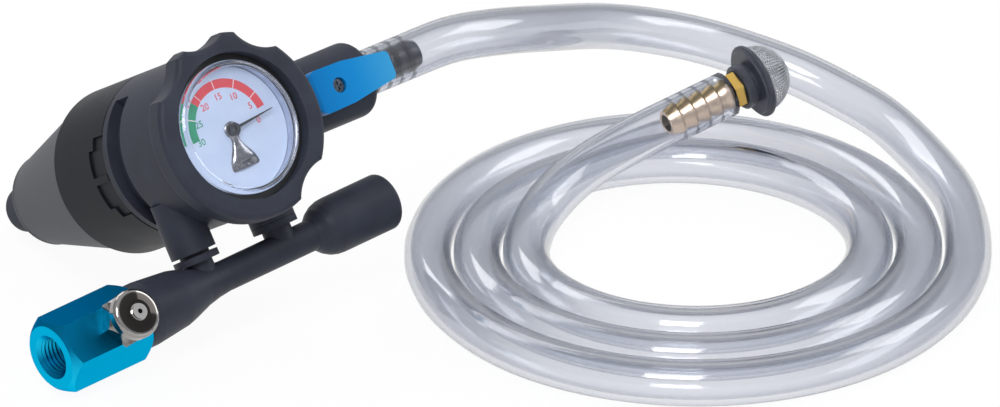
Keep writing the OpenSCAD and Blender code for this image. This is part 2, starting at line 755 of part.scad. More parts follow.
module rubber_cone() {
  base_top = web_back + nose_flange_t;
  color(dark_grey) stance() at_depth(cone_end) difference() {
    union() {
      rotate_extrude() polygon(concat([[0, 0]],
        arc([cone_small_d / 2 - 2.2, 2], 2, -90, 14), [[cone_big_d / 2, cone_len], [0, cone_len]]));
      translate([0, 0, cone_len - skin])
        cylinder(r = cone_pocket_r - fit, h = cone_end - base_top - cone_len);
    }
    translate([0, 0, -1]) cylinder(r = nose_r + fit, h = cone_end);
  }
}

module valve_body() {
  color(black_plastic) stance() difference() {
    union() {
      valve_axis(valve_start) rotate_extrude() polygon(concat([[0, 0], [valve_r - 0.6, 0],
        [valve_r, 0.6]], arc([valve_r - 3, valve_end - valve_start - 3], 3, 0, 90),
        [[0, valve_end - valve_start]]));
      valve_axis(valve_spigot_start) cylinder(r = valve_spigot_r,
        h = valve_start - valve_spigot_start + 1);
      valve_turn() translate([ball_x, 0, -port_depth])
        cylinder(r = stem_boss_r, h = port_depth - boss_top);
    }
    valve_axis(valve_spigot_start - 1) cylinder(r = flow_r + 0.75, h = chamber_start);
    valve_axis(chamber_start) cylinder(r = chamber_r, h = valve_end);
    valve_turn() translate([ball_x, 0, -port_depth]) cylinder(r = stem_r + fit, h = port_depth);
    valve_turn() translate([ball_x, 0, -boss_top - 2.2]) cylinder(r = stem_r + 1.5, h = 3);
    valve_axis(valve_spigot_start + 1.4) tube(valve_spigot_r + 1,
      valve_spigot_r + fit - 2 * seal_wire, 2 * seal_wire + 0.4);
  }
}

module valve_port_seal() {
  color(rubber) stance() valve_axis(valve_spigot_start + 1.6 + seal_wire)
    ring_seal(valve_spigot_r + fit - seal_wire, seal_wire - 0.02);
}

module valve_ball() {
  color("silver") stance() valve_turn() translate([ball_x, 0, -port_depth]) difference() {
    sphere(r = ball_r);
    rotate([0, 90, 0]) cylinder(r = flow_r, h = 2 * ball_d, center = true);
    translate([-ball_d, -tongue_w / 2 - fit, ball_r - tongue_d]) cube([2 * ball_d, tongue_w + 2 * fit, 5]);
  }
}

module ball_seats() {
  color("white") stance() difference() {
    for (x = [chamber_start, chamber_stop - seat_t]) valve_axis(x)
      tube(chamber_r - fit, flow_r + 0.2, seat_t);
    valve_turn() translate([ball_x, 0, -port_depth]) sphere(r = ball_r + 0.1);
  }
}

module valve_stem() {
  low = port_depth - ball_r - 0.2;
  color(steel) stance() valve_turn() translate([ball_x, 0, 0]) difference() {
    union() {
      at_depth(low) cylinder(r = stem_r, h = low - lever_back);
      translate([-square_w / 2, -square_w / 2, -lever_back - skin])
        cube([square_w, square_w, square_h]);
      translate([-stem_r + 0.5, -tongue_w / 2, -low - tongue_d + 0.4])
        cube([stem_d - 1, tongue_w, tongue_d]);
    }
    at_depth(lever_back + 4) cylinder(r = screw_r + fit, h = 12, $fn = 24);
  }
}

module stem_seal() {
  color(rubber) stance() valve_turn() translate([ball_x, 0, -boss_top - 1.3])
    ring_seal(stem_r + fit + 0.72, 0.7);
}

module valve_lever() {
  color(blue_lever) stance() valve_turn() translate([ball_x, 0, -lever_back]) difference() {
    intersection() {
      linear_extrude(lever_t + lever_lift) polygon(rounded([[-lever_tail, -lever_w / 2, 2.6],
        [3, -lever_w / 2 + 0.3, 8], [lever_tip, -lever_tip_w / 2, 1.6],
        [lever_tip, lever_tip_w / 2, 1.6], [3, lever_w / 2 - 0.3, 8],
        [-lever_tail, lever_w / 2, 2.6]]));
      rotate([90, 0, 0]) linear_extrude(2 * lever_w, center = true) polygon([[-lever_tail - 1, 0],
        [8, 0], [11, 0.12 * lever_lift], [14, 0.42 * lever_lift], [lever_tip + 1, lever_lift + 0.1],
        [lever_tip + 1, lever_t + lever_lift - 0.4], [14, lever_t + 0.42 * lever_lift - 0.2],
        [11, lever_t + 0.12 * lever_lift], [8, lever_t], [-lever_tail + 1, lever_t],
        [-lever_tail, lever_t - 0.6], [-lever_tail - 1, lever_t - 1.6]]);
    }
    translate([-square_w / 2 - fit, -square_w / 2 - fit, -1])
      cube([square_w + 2 * fit, square_w + 2 * fit, lever_t]);
    translate([0, 0, lever_t - screw_recess]) cylinder(r = screw_head_r + 0.3, h = 3);
  }
}

module lever_screw() {
  color(steel) stance() valve_turn() translate([ball_x, 0, -lever_front - screw_recess])
    difference() {
    union() {
      cylinder(r = screw_head_r, h = screw_head_h);
      translate([0, 0, -5]) cylinder(r = screw_r, h = 5 + skin, $fn = 24);
    }
    for (turn = [0, 90]) rotate([0, 0, turn])
      translate([-1.4, -0.25, screw_head_h - 0.6]) cube([2.8, 0.5, 1]);
  }
}

// Ridged barb along +Z, starting at its root
module barb(root_r, tip_r, pitch, rings, lead) {
  rotate_extrude() polygon(concat([[0, 0], [root_r, 0], [root_r, lead]],
    [for (i = [0:rings - 1]) each [[tip_r, lead + i * pitch + 0.6],
      [tip_r, lead + i * pitch + 1.2], [root_r, lead + (i + 1) * pitch]]],
    [[0, lead + rings * pitch]]));
}

module hose_barb() {
  color("#4a4b50") stance() difference() {
    union() {
      valve_axis(chamber_stop + fit) cylinder(r = shank_r, h = barb_start - chamber_stop - fit);
      valve_axis(barb_start - skin) barb(barb_root_r, barb_tip_r, barb_pitch, barb_rings, 3);
    }
    valve_axis(chamber_stop - 1) cylinder(r = barb_bore_r, h = valve_end);
  }
}

module venturi_body() {
  color(black_plastic) stance() difference() {
    union() {
      venturi_axis(-inlet_end) rotate_extrude() polygon([[0, 0], [inlet_end_r, 0],
        [inlet_end_r, inlet_end - 40], [inlet_end_r - 0.8, inlet_end - 32],
        [inlet_end_r - 1.2, inlet_end - 28], [inlet_end_r - 1.8, inlet_end - 25.5],
        [mixer_r + 1.3, inlet_end + mixer_start - 9], [mixer_r + 0.45, inlet_end + mixer_start - 4.5],
        [mixer_r, inlet_end + mixer_start],
        [mixer_r, inlet_end + shoulder_start], [tail_spigot_r, inlet_end + shoulder_start],
        [tail_spigot_r, inlet_end + shoulder_start + 4], [0, inlet_end + shoulder_start + 4]]);
      each_stub() translate([0, 0, flange_top]) cylinder(r = stub_r, h = flange_t);
      each_stub() translate([0, 0, flange_top]) cylinder(r = stub_neck_r,
        h = venturi_drop - flange_top - 2);
      each_stub() translate([0, 0, stub_spigot_top]) cylinder(r = stub_spigot_r,
        h = flange_top - stub_spigot_top + skin);
    }
    venturi_axis(-inlet_end - 1) cylinder(r = socket_r + fit, h = socket_len + 1);
    venturi_axis(-inlet_end) cylinder(r = chamber_bore_r, h = inlet_end + throat_start - 3);
    venturi_axis(throat_start - 4) cylinder(r1 = chamber_bore_r, r2 = throat_r, h = 4);
    venturi_axis(throat_start - 1) cylinder(r = throat_r, h = 5);
    venturi_axis(throat_start + 3) cylinder(r1 = throat_r, r2 = diffuser_r,
      h = shoulder_start - throat_start + 2);
    translate([-stub_left, 0, -port_depth]) rotate([90, 0, 0])
      translate([0, 0, stub_spigot_top - 1]) cylinder(r = port_r, h = venturi_drop - stub_spigot_top);
    translate([stub_right, 0, -port_depth]) rotate([90, 0, 0])
      translate([0, 0, stub_spigot_top - 1]) cylinder(r = port_r, h = 8);
    each_stub() translate([0, 0, stub_spigot_top + 1.4]) tube(stub_spigot_r + 1,
      stub_bore_r - 2 * seal_wire, 2 * seal_wire + 0.4);
  }
}

module venturi_nozzle() {
  length = nozzle_seat + nozzle_end;
  color(brass) stance() difference() {
    union() {
      venturi_axis(-nozzle_seat) cylinder(r = chamber_bore_r - fit, h = 5);
      venturi_axis(-nozzle_seat + 5 - skin) cylinder(r1 = 4.2, r2 = jet_r + 0.7, h = length - 5);
    }
    venturi_axis(-nozzle_seat - 1) cylinder(r1 = 3.4, r2 = jet_r, h = length - 3);
    venturi_axis(nozzle_end - 6) cylinder(r = jet_r, h = 8);
  }
}

module stub_seals() {
  color(rubber) stance() each_stub() translate([0, 0, stub_spigot_top + 1.6 + seal_wire])
    ring_seal(stub_bore_r - seal_wire, seal_wire - 0.02);
}

module muffler_shell() {
  length = muffler_end - shoulder_start;
  inner_r = muffler_r - muffler_wall;
  flare = muffler_r - mixer_r;
  color(black_plastic) stance() difference() {
    venturi_axis(shoulder_start) rotate_extrude() polygon(concat([[0, 0], [mixer_r, 0],
      [mixer_r + 0.2 * flare, 1.3], [mixer_r + 0.55 * flare, 3], [mixer_r + 0.82 * flare, 5],
      [muffler_r - 0.04 * flare, 7], [muffler_r, 9]],
      arc([muffler_r - 1.6, length - 1.6], 1.6, 0, 90), [[0, length]]));
    venturi_axis(shoulder_start - 1) cylinder(r = tail_spigot_r + fit, h = 5 + fit);
    venturi_axis(core_start) cylinder(r = inner_r, h = muffler_end - core_start - muffler_wall);
    venturi_axis(shoulder_start + 2) cylinder(r = diffuser_r, h = 8);
    venturi_axis(muffler_end - 4) cylinder(r = outlet_d / 2, h = 6);
  }
}

module muffler_core() {
  length = muffler_end - core_start - muffler_wall;
  color("#8a8578") stance() venturi_axis(core_start + fit)
    difference() {
      cylinder(r = muffler_r - muffler_wall - fit, h = length - 2 * fit);
      translate([0, 0, -1]) cylinder(r = diffuser_r, h = length - 1.5);
    }
}

module air_inlet() {
  color(blue_metal) stance() difference() {
    union() {
      intersection() {
        venturi_axis(-inlet_start) rotate([0, 0, 30 - inlet_turn])
          cylinder(r = inlet_corner_r, h = inlet_len, $fn = 6);
        venturi_axis(-inlet_start) rotate_extrude() polygon([[0, 0], [inlet_face_r, 0],
          [inlet_corner_r, inlet_bevel], [inlet_corner_r, inlet_len - inlet_bevel],
          [inlet_face_r, inlet_len], [0, inlet_len]]);
      }
      venturi_axis(-inlet_end - skin) cylinder(r = socket_r, h = socket_len - gap);
    }
    venturi_axis(-inlet_start - 1) cylinder(r = inlet_bore_d / 2, h = inlet_bore_len + 1);
    venturi_axis(-inlet_start - skin) cylinder(r1 = inlet_bore_d / 2 + 1.1, r2 = inlet_bore_d / 2,
      h = 1.1);
    venturi_axis(-inlet_start) cylinder(r = inlet_flow_r, h = inlet_len + socket_len);
    relief_axis() translate([0, 0, relief_seat - relief_shank_len])
      cylinder(r = relief_shank_r + fit, h = 8);
    relief_axis() cylinder(r = relief_hole_r, h = 8, $fn = 32);
    venturi_axis(-inlet_end + 3) tube(socket_r + 1, socket_r + fit - 2 * seal_wire,
      2 * seal_wire + 0.4);
  }
}

module inlet_seal() {
  color(rubber) stance() venturi_axis(-inlet_end + 3.2 + seal_wire)
    ring_seal(socket_r + fit - seal_wire, seal_wire - 0.02);
}

module relief_nut() {
  color("silver") stance() relief_axis() difference() {
    union() {
      translate([0, 0, relief_seat]) intersection() {
        rotate([0, 0, 4]) cylinder(r = relief_af / 2 / cos(30), h = relief_nut_h, $fn = 6);
        cylinder(r1 = relief_af / 2 / cos(30) + 2, r2 = relief_af / 2, h = relief_nut_h);
      }
      translate([0, 0, relief_seat - relief_shank_len + 0.2])
        cylinder(r = relief_shank_r, h = relief_shank_len);
    }
    translate([0, 0, relief_seat - relief_shank_len + 1.2]) cylinder(r = relief_bore_r, h = 10);
    cylinder(r = relief_hole_r, h = 20, $fn = 32);
  }
}

module relief_cap() {
  top = relief_seat + relief_nut_h + relief_cap_h;
  color("silver") stance() relief_axis() difference() {
    union() {
      translate([0, 0, relief_seat + relief_nut_h]) rotate_extrude() polygon(concat([[0, 0],
        [relief_cap_d / 2 - 0.8, 0], [relief_cap_d / 2, 0.6]],
        arc([relief_cap_d / 2 - 1.4, relief_cap_h - 2], 1.4, 0, 70),
        [[relief_rim_r + 1.5, relief_cap_h], [0, relief_cap_h]]));
      translate([0, 0, top - skin]) cylinder(r = relief_rim_r, h = relief_rim_h);
    }
    translate([0, 0, relief_seat]) cylinder(r = relief_bore_r, h = relief_nut_h + relief_cap_h - 1.6);
    translate([0, 0, relief_seat]) cylinder(r = relief_hole_r / 2, h = 20, $fn = 32);
  }
}

module relief_poppet() {
  color(brass) stance() relief_axis() translate([0, 0, relief_seat - relief_shank_len + 1.2 + 0.05])
    difference() {
      union() {
        cylinder(r = poppet_r, h = poppet_h);
        cylinder(r = spring_r - relief_wire - 0.2, h = poppet_h + 1.2);
      }
    }
}

module relief_spring() {
  low = relief_seat - relief_shank_len + 1.3 + poppet_h + relief_wire / 2;
  high = relief_seat + relief_nut_h + relief_cap_h - 1.7 - relief_wire / 2;
  route = [for (i = [0:8 * relief_curls]) let (a = 45 * i)
    [spring_r * cos(a), spring_r * sin(a), low + (high - low) * i / (8 * relief_curls)]];
  color(steel) stance() relief_axis() hose(route, relief_wire / 2, 6);
}

// Turns of the coil: half width and half depth shrink steadily from the outer turn inwards
function coil_point(turn) = let (a = -360 * turn)
  [(coil_half_w - coil_step_w * turn) * cos(a), (coil_half_d - coil_step_d * turn) * sin(a), 0];
coil_route = concat([coil_point(0) + coil_lead_in],
  [for (i = [0:24 * coil_turns]) coil_point(i / 24)],
  [coil_point(coil_turns) + coil_lead_out]);

// Least gap between one turn of the coil and the next
coil_fine = [for (i = [0:96 * coil_turns]) coil_point(i / 96)];
coil_gap = min([for (i = [0:len(coil_fine) - 1], k = [i + 48:1:len(coil_fine) - 1])
  norm(coil_fine[i] - coil_fine[k])]) - hose_d;
echo(coil_gap = coil_gap);

module hose_cuff() {
  color(clear_hose) stance() valve_axis(cuff_start) tube(hose_r, cuff_bore_r, cuff_end - cuff_start);
}

module hose_lead() {
  color(clear_hose) hose(smooth(lead_route, 2), hose_r, 12);
}

module hose_coil() {
  color(clear_hose) translate(coil_place) rotate([0, 0, coil_turn]) hose(coil_route, hose_r, 6);
}

module hose_tail() {
  color(clear_hose) hose(smooth(tail_route, 2), hose_r, 12);
}

// Places children at the cut end of the tail, +Z towards the strainer
module tail_axis(z) {
  translate(tail_place) rotate([0, 90 - tail_rise, tail_turn]) translate([0, 0, z]) children();
}

tail_pitch = 4.5;
tail_rings = 5;
tail_cuff_len = 25.5;
hex_t = 2.9;
washer_t = 0.5;
hub_t = 4.1;
flange_disc_t = 2.4;
mesh_seat = 0.9;

module tail_cuff() {
  color(clear_hose) tail_axis(-tail_cuff_len) tube(hose_r, cuff_bore_r, tail_cuff_len);
}

module brass_barb() {
  color(brass) difference() {
    union() {
      tail_axis(0.6) mirror([0, 0, 1]) barb(3.7, 4.9, tail_pitch, tail_rings, 0.3);
      tail_axis(0.6) cylinder(r = brass_af / 2 / cos(30), h = hex_t, $fn = 6);
      tail_axis(0.6 + hex_t - skin) cylinder(r = 4.2, h = 3.6);
    }
    tail_axis(-30) cylinder(r = 2.7, h = 60);
  }
}

module strainer_washer() {
  color(rubber) tail_axis(0.6 + hex_t) tube(5.6, 4.25, washer_t);
}

module strainer_base() {
  color(black_plastic) tail_axis(0.6 + hex_t + washer_t) difference() {
    union() {
      rotate_extrude() polygon([[0, 0], [6.4, 0], [6.9, 0.5], [6.9, 2.6], [6.2, 3], [6.2, hub_t + 1],
        [0, hub_t + 1]]);
      translate([0, 0, hub_t]) rotate_extrude() polygon([[0, 0], [strainer_d / 2 - 1.6, 0],
        [strainer_d / 2 - 1.2, 0.6], [strainer_d / 2 - 0.5, 0.7], [strainer_d / 2, 1.1],
        [strainer_d / 2, flange_disc_t - 0.5], [strainer_d / 2 - 0.4, flange_disc_t],
        [0, flange_disc_t]]);
    }
    translate([0, 0, -1]) cylinder(r = 4.25, h = hub_t + 0.1);
    translate([0, 0, hub_t + mesh_seat]) cylinder(r = mesh_d / 2 + fit, h = flange_disc_t);
    cylinder(r = 3, h = hub_t + flange_disc_t);
  }
}

module strainer_mesh() {
  skirt = flange_disc_t - mesh_seat;
  color("#9a9da2") tail_axis(0.6 + hex_t + washer_t + hub_t + mesh_seat) rotate_extrude()
    polygon(concat([[mesh_d / 2 - 0.6, 0], [mesh_d / 2, 0]],
    [for (i = [0:12]) let (a = 90 * i / 12)
      [mesh_d / 2 * cos(a), skirt + mesh_h * sin(a)]],
    [for (i = [12:-1:0]) let (a = 90 * i / 12)
      [(mesh_d / 2 - 0.6) * cos(a), skirt + (mesh_h - 0.6) * sin(a)]]));
}

head_housing();
grip_ring();
gauge_boot();
gauge_case();
gauge_socket();
bourdon_tube();
movement_frame();
sector_gear();
pinion_shaft();
hairspring();
gauge_dial();
gauge_pointer();
movement_bridge();
bridge_rivets();
gauge_lens();
bayonet_collar();
collar_seal();
nose_tube();
rubber_cone();
valve_body();
valve_port_seal();
valve_ball();
ball_seats();
valve_stem();
stem_seal();
valve_lever();
lever_screw();
hose_barb();
venturi_body();
venturi_nozzle();
stub_seals();
muffler_shell();
muffler_core();
air_inlet();
inlet_seal();
relief_nut();
relief_cap();
relief_poppet();
relief_spring();
hose_cuff();
hose_lead();
hose_coil();
hose_tail();
tail_cuff();
brass_barb();
strainer_base();
strainer_mesh();
strainer_washer();
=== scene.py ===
# Coolant refiller: finishes, clear hose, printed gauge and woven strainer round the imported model
import json
import math
import bmesh
import bpy
from mathutils import Matrix, Vector


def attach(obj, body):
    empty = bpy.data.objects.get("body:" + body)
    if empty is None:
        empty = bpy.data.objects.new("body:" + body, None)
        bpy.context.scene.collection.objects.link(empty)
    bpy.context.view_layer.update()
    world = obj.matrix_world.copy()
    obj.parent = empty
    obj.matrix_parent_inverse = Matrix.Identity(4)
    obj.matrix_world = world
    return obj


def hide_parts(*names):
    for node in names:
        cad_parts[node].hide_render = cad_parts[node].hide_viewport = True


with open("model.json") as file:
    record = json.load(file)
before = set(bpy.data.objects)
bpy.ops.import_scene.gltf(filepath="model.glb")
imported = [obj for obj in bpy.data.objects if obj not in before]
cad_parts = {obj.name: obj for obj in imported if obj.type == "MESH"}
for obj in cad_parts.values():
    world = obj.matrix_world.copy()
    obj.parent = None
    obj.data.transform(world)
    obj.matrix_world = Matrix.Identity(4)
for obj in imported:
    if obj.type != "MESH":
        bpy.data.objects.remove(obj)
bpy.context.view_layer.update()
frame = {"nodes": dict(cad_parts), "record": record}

nodes = frame["nodes"]
mm = 0.001
rimMiddle = (-6.2, -48, 67.266)  # middle of the lens rim, mm
print("packed model loaded:", len(nodes), "nodes")


# Colour code of a screen, as the linear values that Blender takes
def toLinear(code):
    channels = [int(code[i:i + 2], 16) / 255 for i in (1, 3, 5)]
    return tuple(c / 12.92 if c <= 0.04045 else ((c + 0.055) / 1.055) ** 2.4 for c in channels) + (1.0,)


# Shader node with its constants and the outputs that feed it
def addNode(tree, kind, values={}, links={}):
    node = tree.nodes.new("ShaderNode" + kind)
    for name, value in values.items():
        if isinstance(name, int) or name in node.inputs:
            node.inputs[name].default_value = value
        else:
            setattr(node, name, value)
    for name, source in links.items():
        tree.links.new(source, node.inputs[name])
    return node


# Colour ramp over a value from 0 to 1, from a list of (value, colour)
def colourRamp(tree, source, steps):
    ramp = addNode(tree, "ValToRGB", {}, {"Fac": source})
    ends = ramp.color_ramp.elements
    ends[0].position, ends[0].color = steps[0][0], toLinear(steps[0][1])
    ends[1].position, ends[1].color = steps[-1][0], toLinear(steps[-1][1])
    for position, code in steps[1:-1]:
        ends.new(position).color = toLinear(code)
    return ramp.outputs["Color"]


# The same over a longer or shorter range of a value, with the steps as shares of that range
def colourSteps(tree, source, low, high, steps):
    share = addNode(tree, "MapRange", {"From Min": low, "From Max": high}, {"Value": source})
    return colourRamp(tree, share.outputs["Result"], steps)


def startMaterial(name, values):
    material = bpy.data.materials.new(name)
    material.use_nodes = True
    tree = material.node_tree
    surface = tree.nodes["Principled BSDF"]
    for socket, value in values.items():
        surface.inputs[socket].default_value = value
    place = addNode(tree, "TexCoord").outputs["Object"]
    return material, tree, surface, place


def addObject(name, data):
    item = bpy.data.objects.new(name, data)
    bpy.context.scene.collection.objects.link(item)
    return item


# Editable mesh of a curve or text; the curve itself goes
def curveMesh(curve):
    line = addObject(curve.name, curve)
    bpy.context.view_layer.update()
    skin = bpy.data.meshes.new_from_object(line.evaluated_get(bpy.context.evaluated_depsgraph_get()))
    bpy.data.objects.remove(line)
    bpy.data.curves.remove(curve)
    bm = bmesh.new()
    bm.from_mesh(skin)
    bpy.data.meshes.remove(skin)
    return bm


# Profile of (distance from the axis, height) turned once round the axis
def turnProfile(bm, points, steps):
    verts = [bm.verts.new((r, 0, z)) for r, z in points]
    edges = [bm.edges.new(pair) for pair in zip(verts, verts[1:])]
    bmesh.ops.spin(
        bm, geom=verts + edges, cent=(0, 0, 0), axis=(0, 0, 1), angle=2 * math.pi, steps=steps,
        use_merge=True, use_duplicate=False)


# Finished piece at the origin: its mesh is moved to its place, and creases start at the angle "sharp"
def makePiece(bm, name, material, body, place=None, sharp=35, replaced=()):
    if place:
        bm.transform(place)
    mesh = bpy.data.meshes.new(name)
    bm.to_mesh(mesh)
    bm.free()
    mesh.shade_smooth()
    mesh.set_sharp_from_angle(angle=math.radians(sharp))
    mesh.materials.append(material)
    piece = addObject(name, mesh)
    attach(piece, body)
    if replaced:
        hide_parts(*replaced)
    return piece


# Camera, far off and long, set so that the lens rim lies where the photograph has it
cameraView = {
    "azimuth": -40.45,
    "elevation": 22,
    "distance": 5000,
    "pixelsPerMm": 3.43,
    "aim": rimMiddle,
    "aimPixel": (241.5, 126.2),
    "imageSize": (1000, 407),
    "sensor": 36,
}


def addCamera(view):
    across = math.radians(view["azimuth"])
    up = math.radians(view["elevation"])
    back = Vector((math.sin(across) * math.cos(up), -math.cos(across) * math.cos(up), math.sin(up)))
    right = Vector((math.cos(across), math.sin(across), 0))
    above = back.cross(right)
    scale = view["pixelsPerMm"]
    wide, high = view["imageSize"]
    spot = Vector(view["aim"]) + right * ((wide / 2 - view["aimPixel"][0]) / scale)
    spot = spot - above * ((high / 2 - view["aimPixel"][1]) / scale) + back * view["distance"]
    data = bpy.data.cameras.new("photoCamera")
    data.lens = view["distance"] * scale * view["sensor"] / wide
    data.sensor_width = view["sensor"]
    data.clip_start, data.clip_end = 0.1, 50
    camera = addObject("photoCamera", data)
    turn = Matrix((right, above, back)).transposed().to_4x4()
    camera.matrix_world = Matrix.Translation(spot * mm) @ turn
    bpy.context.scene.camera = camera


addCamera(cameraView)
print("camera set")

# Place of the tool on the floor: it is drawn lens up, then leant back
stance = {"place": rimMiddle, "leanBack": 60.5, "sideTilt": 6}
toolPlace = (
    Matrix.Translation(Vector(stance["place"]) * mm)
    @ Matrix.Rotation(math.radians(-stance["sideTilt"]), 4, "Y")
    @ Matrix.Rotation(math.radians(stance["leanBack"]), 4, "X")
    @ Matrix.Scale(mm, 4)
)

# Clear hose, one length from the valve through the coil to the strainer; lengths in mm, turns in degrees
hoseSizes = {
    "outside": 14,
    "bore": 10,
    "start": 61.2,  # distance of its first end from the head's axis
    "valveDroop": 1,
    "portDepth": 25.5,
    "lead": [
        (111.4, -26, 60.5), (136.9, -19, 53), (165.4, -9, 43.5), (185.9, -8, 36.5), (201.4, -13, 31),
        (213.9, -21.5, 25.5), (223.9, -33.5, 20.5), (229.9, -49, 15.5), (231.9, -63, 12.5),
        (225.9, -90.5, 8), (213.4, -117, 7),
    ],
    "coilPlace": (126.8, -92.8, 7),
    "coilTurn": -40.4,
    "coilHalf": (83.7, 107.5),
    "coilStep": (14.5, 20.3),
    "coilTurns": 2.5,
    "tail": [
        (105.8, -48.4, 7.3), (114.8, -43.6, 9.6), (124.3, -40, 12), (134.8, -38.1, 14.7),
        (143.8, -38.3, 16.9), (154.8, -38.2, 19),
    ],
    "cutEnd": (186, -43.4, 26.55),
    "tailRise": 13.5,
    "tailTurn": -9.5,
    "tailCuff": 25.5,
    "valveSteps": (0, 7, 14, 21.2, 28, 35.2),  # points straight out of the valve
    "cuffShares": (1, 0.75, 0.5, 0.25, 0),  # points along the straight end, back from the cut
    "turnPoints": 24,
    "step": 3.5,  # spacing of the rings along it
    "smoothing": 6,  # passes that even out the bend where one part of the route meets the next
}


def valvePoint(distance):
    droop = math.radians(hoseSizes["valveDroop"])
    return toolPlace @ Vector((
        distance * math.cos(droop), -distance * math.sin(droop), -hoseSizes["portDepth"]))


def coilPoint(turn):
    angle = -2 * math.pi * turn
    wide, high = (
        half - step * turn for half, step in zip(hoseSizes["coilHalf"], hoseSizes["coilStep"]))
    flat = Vector((wide * math.cos(angle), high * math.sin(angle), 0))
    spin = Matrix.Rotation(math.radians(hoseSizes["coilTurn"]), 3, "Z")
    return (spin @ flat + Vector(hoseSizes["coilPlace"])) * mm


def tailPlace():
    rise, turn = (math.radians(hoseSizes[name]) for name in ("tailRise", "tailTurn"))
    return (
        Matrix.Translation(Vector(hoseSizes["cutEnd"]) * mm) @ Matrix.Rotation(turn, 4, "Z")
        @ Matrix.Rotation(math.pi / 2 - rise, 4, "Y") @ Matrix.Scale(mm, 4))


def hoseRoute():
    count = hoseSizes["turnPoints"]
    ends = [valvePoint(hoseSizes["start"] + step) for step in hoseSizes["valveSteps"]]
    lead = [Vector(point) * mm for point in hoseSizes["lead"]]
    coil = [coilPoint(i / count) for i in range(int(count * hoseSizes["coilTurns"]) + 1)]
    tail = [Vector(point) * mm for point in hoseSizes["tail"]]
    last = [
        tailPlace() @ Vector((0, 0, -hoseSizes["tailCuff"] * share)) for share in hoseSizes["cuffShares"]]
    return ends + lead + coil + tail + last


# Catmull-Rom curve through the points, with a point at about every step, then evened out
def smoothRoute(points, step):
    fine = []
    for i in range(len(points) - 1):
        before, first, second, after = (
            points[min(max(i + k, 0), len(points) - 1)] for k in (-1, 0, 1, 2))
        count = max(2, round((second - first).length / step))
        for k in range(count):
            t = k / count
            fine.append(0.5 * (
                2 * first + (second - before) * t
                + (2 * before - 5 * first + 4 * second - after) * t * t
                + (3 * first - before - 3 * second + after) * t ** 3))
    fine.append(points[-1])
    for _ in range(hoseSizes["smoothing"]):
        fine = [fine[0]] + [
            fine[i] * 0.5 + (fine[i - 1] + fine[i + 1]) * 0.25 for i in range(1, len(fine) - 1)
        ] + [fine[-1]]
    return fine


route = smoothRoute(hoseRoute(), hoseSizes["step"] * mm)
routeLength = sum((b - a).length for a, b in zip(route, route[1:]))
print("hose route:", len(route), "points,", round(routeLength, 3), "m")


# A clear part's shadow is only a faint tint, as it is under a thin clear wall
def passShadowLight(tree, surface, code):
    rays = addNode(tree, "LightPath")
    through = addNode(tree, "BsdfTransparent", {"Color": toLinear(code)})
    mix = addNode(tree, "MixShader", {}, {
        0: rays.outputs["Is Shadow Ray"], 1: surface.outputs["BSDF"], 2: through.outputs["BSDF"],
    })
    tree.links.new(mix.outputs["Shader"], tree.nodes["Material Output"].inputs["Surface"])


# Plasticised PVC, extruded: clear with a faint cool cast, deeper where the wall is seen edge on
def clearVinyl():
    material, tree, surface, _ = startMaterial("clearVinyl", {
        "Roughness": 0.08, "IOR": 1.53, "Transmission Weight": 1.0,
    })
    edge = addNode(tree, "LayerWeight", {"Blend": 0.4})
    tint = colourRamp(tree, edge.outputs["Facing"], [
        (0, "#eff0f4"), (0.2, "#e8eaef"), (0.4, "#ced1d9"), (0.7, "#b2b6c0"), (1, "#6f737c")])
    tree.links.new(tint, surface.inputs["Base Color"])
    passShadowLight(tree, surface, "#d5dae2")
    return material


def buildHose():
    curve = bpy.data.curves.new("hoseCentre", "CURVE")
    curve.dimensions = "3D"
    curve.bevel_depth = hoseSizes["outside"] / 2 * mm
    curve.bevel_resolution = 6
    spline = curve.splines.new("POLY")
    spline.points.add(len(route) - 1)
    for point, spot in zip(spline.points, route):
        point.co = (*spot, 1)
    bm = curveMesh(curve)
    bmesh.ops.remove_doubles(bm, verts=bm.verts, dist=1e-6)
    bmesh.ops.recalc_face_normals(bm, faces=bm.faces)
    hose = makePiece(bm, "clear-hose", clearVinyl(), "body", sharp=60, replaced=(
        "hose_cuff", "hose_lead", "hose_coil", "hose_tail", "tail_cuff"))
    wall = hose.modifiers.new("wall", "SOLIDIFY")
    wall.thickness = (hoseSizes["outside"] - hoseSizes["bore"]) / 2 * mm
    wall.offset = -1
    wall.use_even_offset = False
    return hose


hose = buildHose()
print("hose built")


# The three things that every solid finish ends with: its colour, its gloss and its fine relief
def joinFinish(tree, surface, shade, rough, bump):
    tree.links.new(shade, surface.inputs["Base Color"])
    tree.links.new(rough.outputs["Result"], surface.inputs["Roughness"])
    tree.links.new(bump.outputs["Normal"], surface.inputs["Normal"])


# Glass-filled nylon, injection moulded in a spark-eroded tool: near black, dull, with a fine even grain
def grainedNylon(name, dark, light):
    grain = {"size": 0.55, "depth": 0.05, "cloud": 9}  # mm
    material, tree, surface, place = startMaterial(name, {"IOR": 1.5, "Specular IOR Level": 0.18})
    cloud = addNode(tree, "TexNoise", {"Scale": 1000 / grain["cloud"], "Detail": 3}, {"Vector": place})
    shade = colourRamp(tree, cloud.outputs["Fac"], [(0.3, dark), (0.7, light)])
    speck = addNode(tree, "TexNoise", {"Scale": 1000 / grain["size"], "Detail": 2}, {"Vector": place})
    bump = addNode(tree, "Bump", {"Strength": 0.35, "Distance": grain["depth"] * mm}, {
        "Height": speck.outputs["Fac"]})
    rough = addNode(tree, "MapRange", {"To Min": 0.4, "To Max": 0.55}, {"Value": cloud.outputs["Fac"]})
    joinFinish(tree, surface, shade, rough, bump)
    return material


